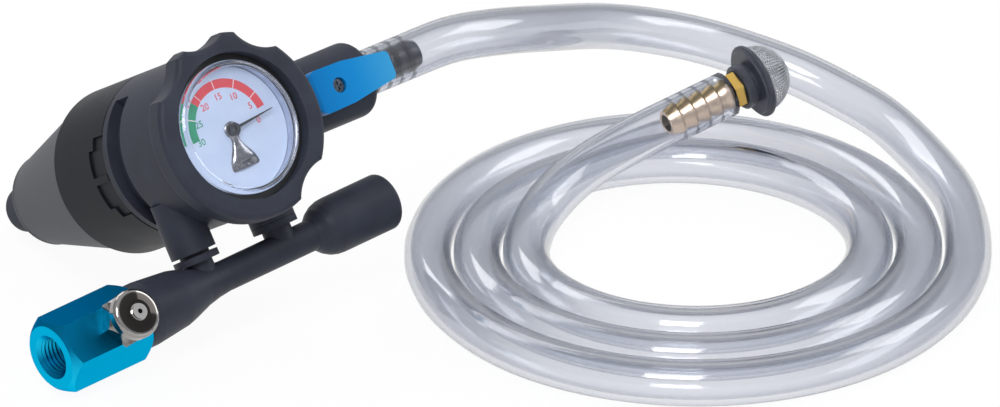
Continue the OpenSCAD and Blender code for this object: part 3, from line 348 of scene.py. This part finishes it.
# EPDM rubber, compression moulded: mid grey with a silky sheen and faint flow marks
def satinRubber():
    material, tree, surface, place = startMaterial("satinRubber", {"IOR": 1.5, "Specular IOR Level": 0.22})
    flow = addNode(tree, "TexNoise", {"Scale": 60, "Detail": 4, "Roughness": 0.6}, {"Vector": place})
    shade = colourRamp(tree, flow.outputs["Fac"], [(0, "#3f4145"), (1, "#505257")])
    rough = addNode(tree, "MapRange", {"To Min": 0.46, "To Max": 0.6}, {"Value": flow.outputs["Fac"]})
    fine = addNode(tree, "TexNoise", {"Scale": 1400, "Detail": 2}, {"Vector": place})
    bump = addNode(tree, "Bump", {"Strength": 0.3, "Distance": 0.03 * mm}, {"Height": fine.outputs["Fac"]})
    joinFinish(tree, surface, shade, rough, bump)
    return material


# Nitrile rubber, moulded: black, soft sheen, slightly pitted
def sealRubber():
    material, tree, surface, place = startMaterial("sealRubber", {
        "Base Color": toLinear("#17181a"), "IOR": 1.5,
    })
    pit = addNode(tree, "TexNoise", {"Scale": 1500, "Detail": 2}, {"Vector": place})
    bump = addNode(tree, "Bump", {"Strength": 0.3, "Distance": 0.03 * mm}, {"Height": pit.outputs["Fac"]})
    rough = addNode(tree, "MapRange", {"To Min": 0.4, "To Max": 0.6}, {"Value": pit.outputs["Fac"]})
    tree.links.new(rough.outputs["Result"], surface.inputs["Roughness"])
    tree.links.new(bump.outputs["Normal"], surface.inputs["Normal"])
    return material


# A drawn, turned or plated metal: colour, roughness range, and fine marks of a size in mm
def workedMetal(name, dark, light, rough, marks, depth=0.01):
    material, tree, surface, place = startMaterial(name, {"Metallic": 1.0})
    grain = addNode(tree, "TexNoise", {"Scale": 1000 / marks, "Detail": 3}, {"Vector": place})
    shade = colourRamp(tree, grain.outputs["Fac"], [(0.3, dark), (0.7, light)])
    spread = addNode(tree, "MapRange", {"To Min": rough[0], "To Max": rough[1]}, {
        "Value": grain.outputs["Fac"]})
    bump = addNode(tree, "Bump", {"Strength": 0.3, "Distance": depth * mm}, {
        "Height": grain.outputs["Fac"]})
    joinFinish(tree, surface, shade, spread, bump)
    return material


# A coloured moulding or paint coat: colour, gloss, and faint waviness of a size in mm
def smoothCoat(name, dark, light, rough, wave, depth=0.02):
    material, tree, surface, place = startMaterial(name, {"IOR": 1.5})
    drift = addNode(tree, "TexNoise", {"Scale": 1000 / wave, "Detail": 2}, {"Vector": place})
    shade = colourRamp(tree, drift.outputs["Fac"], [(0.3, dark), (0.7, light)])
    spread = addNode(tree, "MapRange", {"To Min": rough[0], "To Max": rough[1]}, {
        "Value": drift.outputs["Fac"]})
    bump = addNode(tree, "Bump", {"Strength": 0.2, "Distance": depth * mm}, {
        "Height": drift.outputs["Fac"]})
    joinFinish(tree, surface, shade, spread, bump)
    return material


# Acrylic, moulded: water clear and glossy
def clearAcrylic():
    material, tree, surface, _ = startMaterial("clearAcrylic", {
        "Base Color": toLinear("#f4f7fb"), "Roughness": 0.02, "IOR": 1.49, "Transmission Weight": 1.0,
    })
    passShadowLight(tree, surface, "#eef2f8")
    return material


# Position along and away from an axis, both in mm, from the object coordinates of a part that stays put
def axisPosition(tree, place, axis):
    local = addNode(tree, "Mapping", {
        "vector_type": "TEXTURE", "Location": axis.to_translation(), "Rotation": tuple(axis.to_euler()),
        "Scale": (mm, mm, mm),
    }, {"Vector": place})
    axes = addNode(tree, "SeparateXYZ", {}, {0: local.outputs["Vector"]})
    flat = addNode(tree, "CombineXYZ", {}, {"X": axes.outputs["X"], "Y": axes.outputs["Y"]})
    away = addNode(tree, "VectorMath", {"operation": "LENGTH"}, {0: flat.outputs["Vector"]})
    return axes.outputs["Z"], away.outputs["Value"]


# Blue nylon, moulded in a polished tool: deep at the thick root, lighter towards the thin tip
def blueNylon():
    root, tip = 0.03, 0.058  # m along x
    material, tree, surface, place = startMaterial("blueNylon", {"IOR": 1.5, "Specular IOR Level": 0.15})
    axes = addNode(tree, "SeparateXYZ", {}, {0: place})
    shade = colourSteps(tree, axes.outputs["X"], root, tip, [
        (0, "#0070b4"), (0.5, "#0a7fc2"), (1, "#3795c8")])
    drift = addNode(tree, "TexNoise", {"Scale": 140, "Detail": 2}, {"Vector": place})
    rough = addNode(tree, "MapRange", {"To Min": 0.26, "To Max": 0.36}, {"Value": drift.outputs["Fac"]})
    bump = addNode(tree, "Bump", {"Strength": 0.2, "Distance": 0.03 * mm}, {"Height": drift.outputs["Fac"]})
    joinFinish(tree, surface, shade, rough, bump)
    return material


# Aluminium, turned and milled, anodised blue: satin metal under a clear dye layer, with painted shade
# deepening the blue on the faces turned up and painted light brightening the end face
def blueAnodised():
    paintedShadeSide = (0.35, 0, 1)
    material, tree, surface, place = startMaterial("blueAnodised", {
        "Metallic": 1.0, "Specular Tint": toLinear("#3fb6dd")})
    facing = addNode(tree, "TexCoord").outputs["Normal"]
    upward = addNode(tree, "VectorMath", {"operation": "DOT_PRODUCT", 1: paintedShadeSide}, {0: facing})
    # painted shade and light: the blue follows which way a face points, darker upward, brighter on the end
    # face
    shade = colourSteps(tree, upward.outputs["Value"], -0.7, 1, [
        (0, "#1cbee6"), (0.2, "#12aed8"), (0.41, "#0678a5"), (0.65, "#056f99"), (1, "#025f84")])
    drift = addNode(tree, "TexNoise", {"Scale": 60, "Detail": 3}, {"Vector": place})
    rough = addNode(tree, "MapRange", {"To Min": 0.32, "To Max": 0.42}, {"Value": drift.outputs["Fac"]})
    fine = addNode(tree, "TexNoise", {"Scale": 2500, "Detail": 2}, {"Vector": place})
    bump = addNode(tree, "Bump", {"Strength": 0.15, "Distance": 0.004 * mm}, {"Height": fine.outputs["Fac"]})
    joinFinish(tree, surface, shade, rough, bump)
    return material


# Nickel-chrome plate on brass with painted reflections: bright middle and rim, dark band on the domed face
def paintedReflectionCap():
    rim = 7.5  # mm
    faceFrom, faceTo = 3.5, 3.9  # height of the face over the cap's foot, mm
    material, tree, surface, place = startMaterial("paintedReflectionCap", {"Metallic": 1.0})
    along, away = axisPosition(tree, place, capPlace)
    # painted reflection: bright middle, dark band over the domed face, bright rim, by distance from the axis
    face = colourSteps(tree, away, 0, rim, [
        (0, "#c9c6c4"), (0.33, "#d6d3d0"), (0.36, "#353331"), (0.8, "#403d3b"), (0.86, "#a9a6a3"),
        (1, "#b5b2b0")])
    side = addNode(tree, "MapRange", {"From Min": faceFrom, "From Max": faceTo}, {"Value": along})
    mix = addNode(tree, "Mix", {"data_type": "RGBA", 6: toLinear("#95918f")}, {
        0: side.outputs["Result"], 7: face})
    tree.links.new(mix.outputs[2], surface.inputs["Base Color"])
    scuff = addNode(tree, "TexNoise", {"Scale": 500, "Detail": 3}, {"Vector": place})
    rough = addNode(tree, "MapRange", {"To Min": 0.06, "To Max": 0.14}, {"Value": scuff.outputs["Fac"]})
    tree.links.new(rough.outputs["Result"], surface.inputs["Roughness"])
    return material


# Free-cutting brass, turned: pinkish gold barb, yellower hexagon
def tailBrass():
    reach = 2  # mm to either side of the hose's cut end, over which the colour changes
    reflectionFull, reflectionGone = 0.2, 0.4  # mm past the cut end, where the painted reflection ends
    material, tree, surface, place = startMaterial("tailBrass", {"Metallic": 1.0})
    along, _ = axisPosition(tree, place, tailPlace())
    plainBrass = colourSteps(tree, along, -reach, reach, [(0.6, "#ecd2b8"), (0.7, "#f0c263"), (1, "#f3c96e")])
    # painted reflection: the barb is darkened to a dull brown on its upper side
    facing = addNode(tree, "SeparateXYZ", {}, {0: addNode(tree, "TexCoord").outputs["Normal"]})
    upper = addNode(tree, "MapRange", {"From Min": 0.55, "From Max": 0.75}, {"Value": facing.outputs["Z"]})
    barb = addNode(tree, "MapRange", {"From Min": reflectionGone, "From Max": reflectionFull}, {"Value": along})
    paintedReflection = addNode(tree, "Math", {"operation": "MULTIPLY"}, {
        0: upper.outputs["Result"], 1: barb.outputs["Result"]})
    mix = addNode(tree, "Mix", {"data_type": "RGBA", 7: toLinear("#8e7646")}, {
        0: paintedReflection.outputs["Value"], 6: plainBrass})
    marks = addNode(tree, "TexNoise", {"Scale": 900, "Detail": 3}, {"Vector": place})
    rough = addNode(tree, "MapRange", {"To Min": 0.26, "To Max": 0.38}, {"Value": marks.outputs["Fac"]})
    bump = addNode(tree, "Bump", {"Strength": 0.3, "Distance": 0.01 * mm}, {"Height": marks.outputs["Fac"]})
    joinFinish(tree, surface, mix.outputs[2], rough, bump)
    return material


# Places of the venturi and of the relief valve's cap; mm and degrees
venturiSizes = {
    "drop": 38.6, "rise": 1, "inletEnd": 75.5, "reliefAlong": 54, "inletTurn": 6, "capBase": 15.1,
}
venturiPlace = (
    toolPlace @ Matrix.Translation((0, -venturiSizes["drop"], -hoseSizes["portDepth"]))
    @ Matrix.Rotation(math.radians(venturiSizes["rise"]), 4, "Z"))
capPlace = (
    venturiPlace @ Matrix.Translation((-venturiSizes["reliefAlong"], 0, 0))
    @ Matrix.Rotation(math.radians(-venturiSizes["inletTurn"]), 4, "X")
    @ Matrix.Translation((0, 0, venturiSizes["capBase"])))

# Finish of each material slot; where a function makes it, the note stands above that function
finishes = {
    "housing": grainedNylon("grainedNylon", "#2c2f39", "#333742"),
    "cone_rubber": satinRubber(),
    "seal_rubber": sealRubber(),
    # nickel-plated steel, drawn and polished: bright, faintly cloudy
    "gauge_metal": workedMetal("nickelPlatedSteel", "#b4b8c6", "#d0d3de", (0.2, 0.3), 6),
    # rolled and stamped brass: warm, dull yellow
    "movement_brass": workedMetal("stampedBrass", "#b08d4a", "#c9a65c", (0.3, 0.42), 1.2),
    # stamped steel: grey, satin
    "movement_steel": workedMetal("stampedSteel", "#8b8a88", "#b3b2b0", (0.22, 0.38), 1.5),
    # stoved white enamel on aluminium: very even, with a cool cast
    "dial": smoothCoat("whiteEnamel", "#c3cee4", "#cbd5e9", (0.4, 0.5), 8),
    # matt black paint
    "pointer": smoothCoat("blackPaint", "#22242c", "#2b2d36", (0.45, 0.6), 2),
    "lens": clearAcrylic(),
    # PTFE, machined: waxy white
    "seats": smoothCoat("waxyFluoropolymer", "#e4e3dd", "#eceae4", (0.4, 0.5), 3),
    # turned stainless steel: grey with fine tool marks
    "steel": workedMetal("turnedStainless", "#8e9095", "#b4b6ba", (0.22, 0.36), 0.5),
    "lever": blueNylon(),
    # black acetal, moulded: smooth, slightly shiny
    "barb_plastic": smoothCoat("blackAcetal", "#2d2f35", "#393b42", (0.25, 0.35), 4),
    # free-cutting brass, turned: bright pinkish gold with fine marks
    "nozzle_brass": workedMetal("turnedBrass", "#d3a66a", "#e6c08a", (0.16, 0.28), 0.7),
    # open-cell polyurethane foam: dull, deeply pitted
    "foam": smoothCoat("openFoam", "#6f6a5e", "#8d877a", (0.9, 1.0), 1.2, depth=0.4),
    "blue_metal": blueAnodised(),
    # nickel-chrome plate on brass: mirror polish, smoky, with a faint warm cast
    "chrome": workedMetal("brightChrome", "#62605e", "#949290", (0.06, 0.14), 2.5, depth=0.005),
    # black polypropylene, moulded: smooth, soft sheen
    "strainer_plastic": smoothCoat("blackPolypropylene", "#343741", "#3e414c", (0.34, 0.46), 3),
    # drawn stainless wire: bright grey
    "mesh_steel": workedMetal("drawnWire", "#a8abb0", "#d2d5d9", (0.25, 0.4), 1.5),
}
for part in frame["record"]["subparts"]:
    if part["material_slot"] in finishes:
        mesh = nodes[part["node"]].data
        mesh.materials.clear()
        mesh.materials.append(finishes[part["material_slot"]])
# Finish of single parts that differ from the rest of their slot
ownFinishes = {
    "relief_cap": paintedReflectionCap(),
    "brass_barb": tailBrass(),
    # blackened steel: slate grey, polished
    "lever_screw": workedMetal("blackenedSteel", "#46505c", "#7c8692", (0.15, 0.25), 1.5),
    # painted shade: the collar takes a darker copy of the head's nylon
    "bayonet_collar": grainedNylon("shadedCollarNylon", "#14161b", "#181a21"),
}
for node, material in ownFinishes.items():
    nodes[node].data.materials[0] = material
print("finishes given:", len(finishes))

# Print on the dial, a hair above its face; mm and degrees
dialPrint = {
    "depth": 6.3,  # of the dial under the rim plane
    "lift": 0.03,  # of one layer of print over the next
    "middle": (-0.1, 1.4),
    "outer": 14.1,
    "inner": 11.4,
    "redFrom": 6.5,
    "greenFrom": 131,
    "greenTo": 183,
    "ticks": (26, 57.5, 89.5, 121, 153.5),
    "tickWidth": 0.32,
    "arcStep": 3,
    "numeralSize": 2.8,
    "numeralWeight": 0.03,
    "greenLeftOf": -9,  # the numerals beyond this x are green, the others red
    "numerals": [
        ("0", (10.1, -0.4)), ("5", (9.3, 4.3)), ("10", (5.1, 8.7)), ("15", (0.1, 10.4)),
        ("20", (-5.5, 9.1)), ("25", (-9.7, 5.1)), ("30", (-11.3, 0)),
    ],
}


def printPiece(bm, name, material, spot, layer=1):
    place = toolPlace @ Matrix.Translation((*spot, dialPrint["lift"] * layer - dialPrint["depth"]))
    return makePiece(bm, name, material, "body", place)


# Flat band between two radii, from one angle to another
def bandArc(bm, low, high, start, stop):
    turn = Matrix.Rotation(math.radians(start), 3, "Z")
    inner = bm.verts.new(turn @ Vector((low, 0, 0)))
    outer = bm.verts.new(turn @ Vector((high, 0, 0)))
    edge = bm.edges.new((inner, outer))
    bmesh.ops.spin(
        bm, geom=[inner, outer, edge], cent=(0, 0, 0), axis=(0, 0, 1),
        angle=math.radians(stop - start), steps=max(2, round((stop - start) / dialPrint["arcStep"])),
        use_duplicate=False)


def numeralMesh(text, size):
    curve = bpy.data.curves.new("numeral", "FONT")
    curve.body = text
    curve.size = size
    curve.offset = dialPrint["numeralWeight"]
    curve.align_x, curve.align_y = "CENTER", "CENTER"
    return curveMesh(curve)


def buildDialPrint(sizes):
    redInk = smoothCoat("redInk", "#e2454e", "#e84f57", (0.4, 0.5), 5)
    greenInk = smoothCoat("greenInk", "#1f9068", "#289a72", (0.4, 0.5), 5)
    whiteInk = smoothCoat("whiteInk", "#f1d3d5", "#f4dcde", (0.4, 0.5), 5)
    for name, coatFinish, start, stop in (
        ("dial-red", redInk, sizes["redFrom"], sizes["greenFrom"]),
        ("dial-green", greenInk, sizes["greenFrom"], sizes["greenTo"]),
    ):
        band = bmesh.new()
        bandArc(band, sizes["inner"], sizes["outer"], start, stop)
        printPiece(band, name, coatFinish, sizes["middle"])
    ticks = bmesh.new()
    half = math.degrees(sizes["tickWidth"] / sizes["outer"]) / 2
    for angle in sizes["ticks"]:
        bandArc(ticks, sizes["inner"], sizes["outer"], angle - half, angle + half)
    printPiece(ticks, "dial-ticks", whiteInk, sizes["middle"], layer=2)
    for text, spot in sizes["numerals"]:
        coatFinish = greenInk if spot[0] < sizes["greenLeftOf"] else redInk
        printPiece(numeralMesh(text, sizes["numeralSize"]), "numeral-" + text, coatFinish, spot)


buildDialPrint(dialPrint)
print("dial printed")

# Domed bracket under the pointer, pressed from steel; mm
bell = {
    "outline": [  # distance down from the shaft, half width, height of the dome
        (-1.7, 1.45, 0.7), (-2.6, 1.45, 0.7), (-3.6, 1.55, 0.75), (-5.4, 2.4, 1), (-7.4, 3.7, 1.3),
        (-9, 4.6, 1.4), (-9.9, 4.8, 1.1), (-10.3, 4.95, 0.7), (-11.2, 5, 0.65), (-11.8, 4.6, 0.6),
    ],
    "across": 12,  # faces from side to side
    "lift": 0.02,  # over the dial's face
    "hub": (2.55, 1.35, 0.75),  # radius, hole, height
    "hubSteps": 32,
    "knobHeight": 0.4,
    "knobs": [  # place, radius
        (-3.6, -10.9, 0.55), (-1.6, -11.1, 0.6), (0.6, -11.1, 0.6), (3.7, -10.8, 0.55),
    ],
}


def buildBell(sizes):
    steel = workedMetal("pressedSteel", "#7d7b80", "#a8a6aa", (0.14, 0.26), 1.8, depth=0.05)
    place = toolPlace @ Matrix.Translation((0, 0, sizes["lift"] - dialPrint["depth"]))
    bm = bmesh.new()
    rows = len(sizes["outline"]) - 1
    sheet = bmesh.ops.create_grid(bm, x_segments=sizes["across"], y_segments=rows, size=1)
    for vert in sheet["verts"]:  # the flat grid takes the outline and the dome
        share = vert.co.x
        down, half, height = sizes["outline"][round((vert.co.y + 1) / 2 * rows)]
        vert.co = (half * share, down, height * math.sqrt(max(0, 1 - share * share)))
    for x, y, radius in sizes["knobs"]:
        bmesh.ops.create_uvsphere(bm, u_segments=12, v_segments=8, radius=radius,
                                  matrix=Matrix.Translation((x, y, sizes["knobHeight"])))
    outer, hole, height = sizes["hub"]
    turnProfile(bm, [
        (outer, 0), (outer, height * 0.6), (outer - 0.35, height * 0.9), (outer - 0.8, height), (hole, height),
    ], sizes["hubSteps"])
    bmesh.ops.recalc_face_normals(bm, faces=bm.faces)
    return makePiece(
        bm, "pressed-bracket", steel, "body", place, replaced=("movement_bridge",))


buildBell(bell)
print("bracket pressed")

# Lens with its thin rolled edge
lensSizes = {
    "steps": 96,
    "profile": [  # distance from the axis, height over the rim plane, mm
        (0, 0.05), (18.1, -0.05), (18.4, -0.35), (18.8, -0.35), (19, 0), (19.4, -0.1), (19.75, -0.4),
        (20, -0.9), (20, -3.2), (19.25, -3.2), (19.2, -2.2), (18.3, -1.5), (0, -1.5),
    ],
}


def buildLens(sizes):
    bm = bmesh.new()
    turnProfile(bm, sizes["profile"], sizes["steps"])
    bmesh.ops.remove_doubles(bm, verts=bm.verts, dist=1e-4)
    bmesh.ops.recalc_face_normals(bm, faces=bm.faces)
    return makePiece(bm, "clear-lens", finishes["lens"], "body", toolPlace, replaced=("gauge_lens",))


buildLens(lensSizes)
print("lens made")

# Threads in the air inlet, as rings side by side; mm
inletThread = {
    "root": 5.75, "crest": 5.15, "pitch": 1.34, "first": 1.2, "turns": 9, "steps": 48,
    "crestShares": (0.45, 0.6),  # where the flat crest lies in one pitch
}


def buildThread(sizes):
    bm = bmesh.new()
    points = []
    for i in range(sizes["turns"]):
        z = sizes["first"] + i * sizes["pitch"]
        low, high = (z + share * sizes["pitch"] for share in sizes["crestShares"])
        points += [(sizes["root"], z), (sizes["crest"], low), (sizes["crest"], high)]
    points.append((sizes["root"], sizes["first"] + sizes["turns"] * sizes["pitch"]))
    turnProfile(bm, points, sizes["steps"])
    bmesh.ops.recalc_face_normals(bm, faces=bm.faces)  # normals made consistent; the bore is seen from inside
    place = (
        venturiPlace @ Matrix.Translation((-venturiSizes["inletEnd"], 0, 0))
        @ Matrix.Rotation(math.pi / 2, 4, "Y"))
    return makePiece(bm, "inlet-thread", finishes["blue_metal"], "body", place, sharp=25)


buildThread(inletThread)
print("threads cut")

# Painted lines: thin grey arcs in the hose wall that stand for the barbs' sharp rings seen through it; mm
paintedCrestLines = {
    "inner": 5.0, "outer": 6.8, "width": 0.06, "opacity": 0.4,
    "span": 66,  # degrees that each arc covers
    "steps": 10,
    "valveRings": (64.9, 69.5, 74.1, 78.7),  # distances from the head's axis
    "valveSides": (88, 268),  # middles of the two painted arcs, degrees round the axis
    "tailRings": (-0.9, -5.2, -9.7, -14.2, -18.7),  # from the cut end
    "tailSides": (149, 329),
}


def buildPaintedLines(name, rings, sides, place, code):
    bm = bmesh.new()
    half = paintedCrestLines["width"] / 2
    for z, side in ((z, side) for z in rings for side in sides):
        corners = [
            (paintedCrestLines["inner"], z - half), (paintedCrestLines["outer"], z - half),
            (paintedCrestLines["outer"], z + half), (paintedCrestLines["inner"], z + half)]
        turn = Matrix.Rotation(math.radians(side - paintedCrestLines["span"] / 2), 3, "Z")
        verts = [bm.verts.new(turn @ Vector((r, 0, h))) for r, h in corners]
        first = bm.faces.new(verts)
        bmesh.ops.spin(
            bm, geom=verts + list(first.edges) + [first], cent=(0, 0, 0), axis=(0, 0, 1),
            angle=math.radians(paintedCrestLines["span"]), steps=paintedCrestLines["steps"], use_duplicate=False)
    bmesh.ops.recalc_face_normals(bm, faces=bm.faces)
    # painted refraction: a see-through grey line where a barb's crest shows through the hose wall
    coatFinish = smoothCoat(name, code, code, (0.5, 0.6), 3)
    coatFinish.node_tree.nodes["Principled BSDF"].inputs["Alpha"].default_value = paintedCrestLines["opacity"]
    return makePiece(bm, name, coatFinish, "body", place)


valveAxis = (
    toolPlace @ Matrix.Rotation(math.radians(-hoseSizes["valveDroop"]), 4, "Z")
    @ Matrix.Translation((0, 0, -hoseSizes["portDepth"])) @ Matrix.Rotation(math.pi / 2, 4, "Y"))
# painted lines for the crests of both barbs
buildPaintedLines("valve-painted-crest-lines", paintedCrestLines["valveRings"], paintedCrestLines["valveSides"], valveAxis, "#4c5058")
tailPaintedLines = buildPaintedLines(
    "tail-painted-crest-lines", paintedCrestLines["tailRings"], paintedCrestLines["tailSides"], tailPlace(), "#84878f")
print("barb marks set")

# Wire dome of the strainer; mm
meshDome = {
    "radius": 10.1, "skirt": 1.5, "height": 10, "rings": 20, "ribs": 60, "wire": 0.26,
    "along": 9,  # its foot, from the hose's cut end
}


def buildDome(sizes):
    bm = bmesh.new()
    profile = [(sizes["radius"], 0)]
    for i in range(sizes["rings"] + 1):
        angle = math.pi / 2 * i / sizes["rings"]
        profile.append((
            sizes["radius"] * math.cos(angle), sizes["skirt"] + sizes["height"] * math.sin(angle)))
    turnProfile(bm, profile, sizes["ribs"])
    bmesh.ops.remove_doubles(bm, verts=bm.verts, dist=1e-4)
    bmesh.ops.recalc_face_normals(bm, faces=bm.faces)
    place = tailPlace() @ Matrix.Translation((0, 0, sizes["along"]))
    dome = makePiece(bm, "wire-dome", finishes["mesh_steel"], "body", place,
                     replaced=("strainer_mesh",))
    wire = dome.modifiers.new("wires", "WIREFRAME")
    wire.thickness = sizes["wire"] * mm
    return dome


dome = buildDome(meshDome)

# Studio: white floor and world, and three soft lamps
studio = {
    "floorSize": 8,  # m
    "floorWhite": 0.94,  # share of plain white in what is seen of the floor
    "worldLow": "#c9ccd2",
    "worldHigh": "#f2f3f5",
    "worldStrength": 0.75,
    "lampAim": (0.08, -0.06, 0.03),
    "lamps": [  # name, place in m, size in m, watts
        ("keyLight", (-1.1, -1.0, 1.7), 0.9, 24),
        ("fillLight", (1.5, -0.6, 1.1), 1.0, 10),
        ("backLight", (0.2, 1.6, 1.3), 1.2, 12),
    ],
}


def buildStudio(setting):
    bm = bmesh.new()
    bmesh.ops.create_grid(bm, x_segments=1, y_segments=1, size=setting["floorSize"] / 2)
    mesh = bpy.data.meshes.new("floor")
    bm.to_mesh(mesh)
    bm.free()
    floor = addObject("floor", mesh)
    # what is seen of the floor, also in a mirror or through the hose, is nearly plain white
    material, tree, surface, _ = startMaterial("paperFloor", {
        "Base Color": toLinear("#ececec"), "Roughness": 0.9,
    })
    rays = addNode(tree, "LightPath")
    seen = addNode(tree, "Math", {"operation": "MAXIMUM"}, {
        0: rays.outputs["Is Camera Ray"], 1: rays.outputs["Is Glossy Ray"]})
    seen = addNode(tree, "Math", {"operation": "MAXIMUM"}, {
        0: seen.outputs["Value"], 1: rays.outputs["Is Transmission Ray"]})
    share = addNode(tree, "Math", {"operation": "MULTIPLY", 1: setting["floorWhite"]}, {
        0: seen.outputs["Value"]})
    white = addNode(tree, "Emission", {"Strength": 1.0})
    mix = addNode(tree, "MixShader", {}, {
        0: share.outputs["Value"], 1: surface.outputs["BSDF"], 2: white.outputs["Emission"]})
    tree.links.new(mix.outputs["Shader"], tree.nodes["Material Output"].inputs["Surface"])
    mesh.materials.append(material)

    world = bpy.data.worlds.new("studioWorld")
    bpy.context.scene.world = world
    world.use_nodes = True
    tree = world.node_tree
    back = tree.nodes["Background"]
    sky = addNode(tree, "TexCoord")
    axes = addNode(tree, "SeparateXYZ", {}, {0: sky.outputs["Generated"]})
    shade = colourRamp(tree, axes.outputs["Z"], [(0, setting["worldLow"]), (1, setting["worldHigh"])])
    tree.links.new(shade, back.inputs["Color"])
    back.inputs["Strength"].default_value = setting["worldStrength"]
    plain = addNode(tree, "Background", {"Color": (1, 1, 1, 1), "Strength": 1.0})
    rays = addNode(tree, "LightPath")
    mix = addNode(tree, "MixShader", {}, {
        0: rays.outputs["Is Camera Ray"], 1: back.outputs["Background"], 2: plain.outputs["Background"]})
    tree.links.new(mix.outputs["Shader"], tree.nodes["World Output"].inputs["Surface"])

    for name, spot, size, watts in setting["lamps"]:
        data = bpy.data.lights.new(name, "AREA")
        data.size = size
        data.energy = watts
        lamp = addObject(name, data)
        aim = (Vector(setting["lampAim"]) - Vector(spot)).to_track_quat("-Z", "Y")
        lamp.matrix_world = Matrix.Translation(spot) @ aim.to_matrix().to_4x4()


buildStudio(studio)
bpy.context.scene.view_settings.view_transform = "Standard"
print("studio lit")
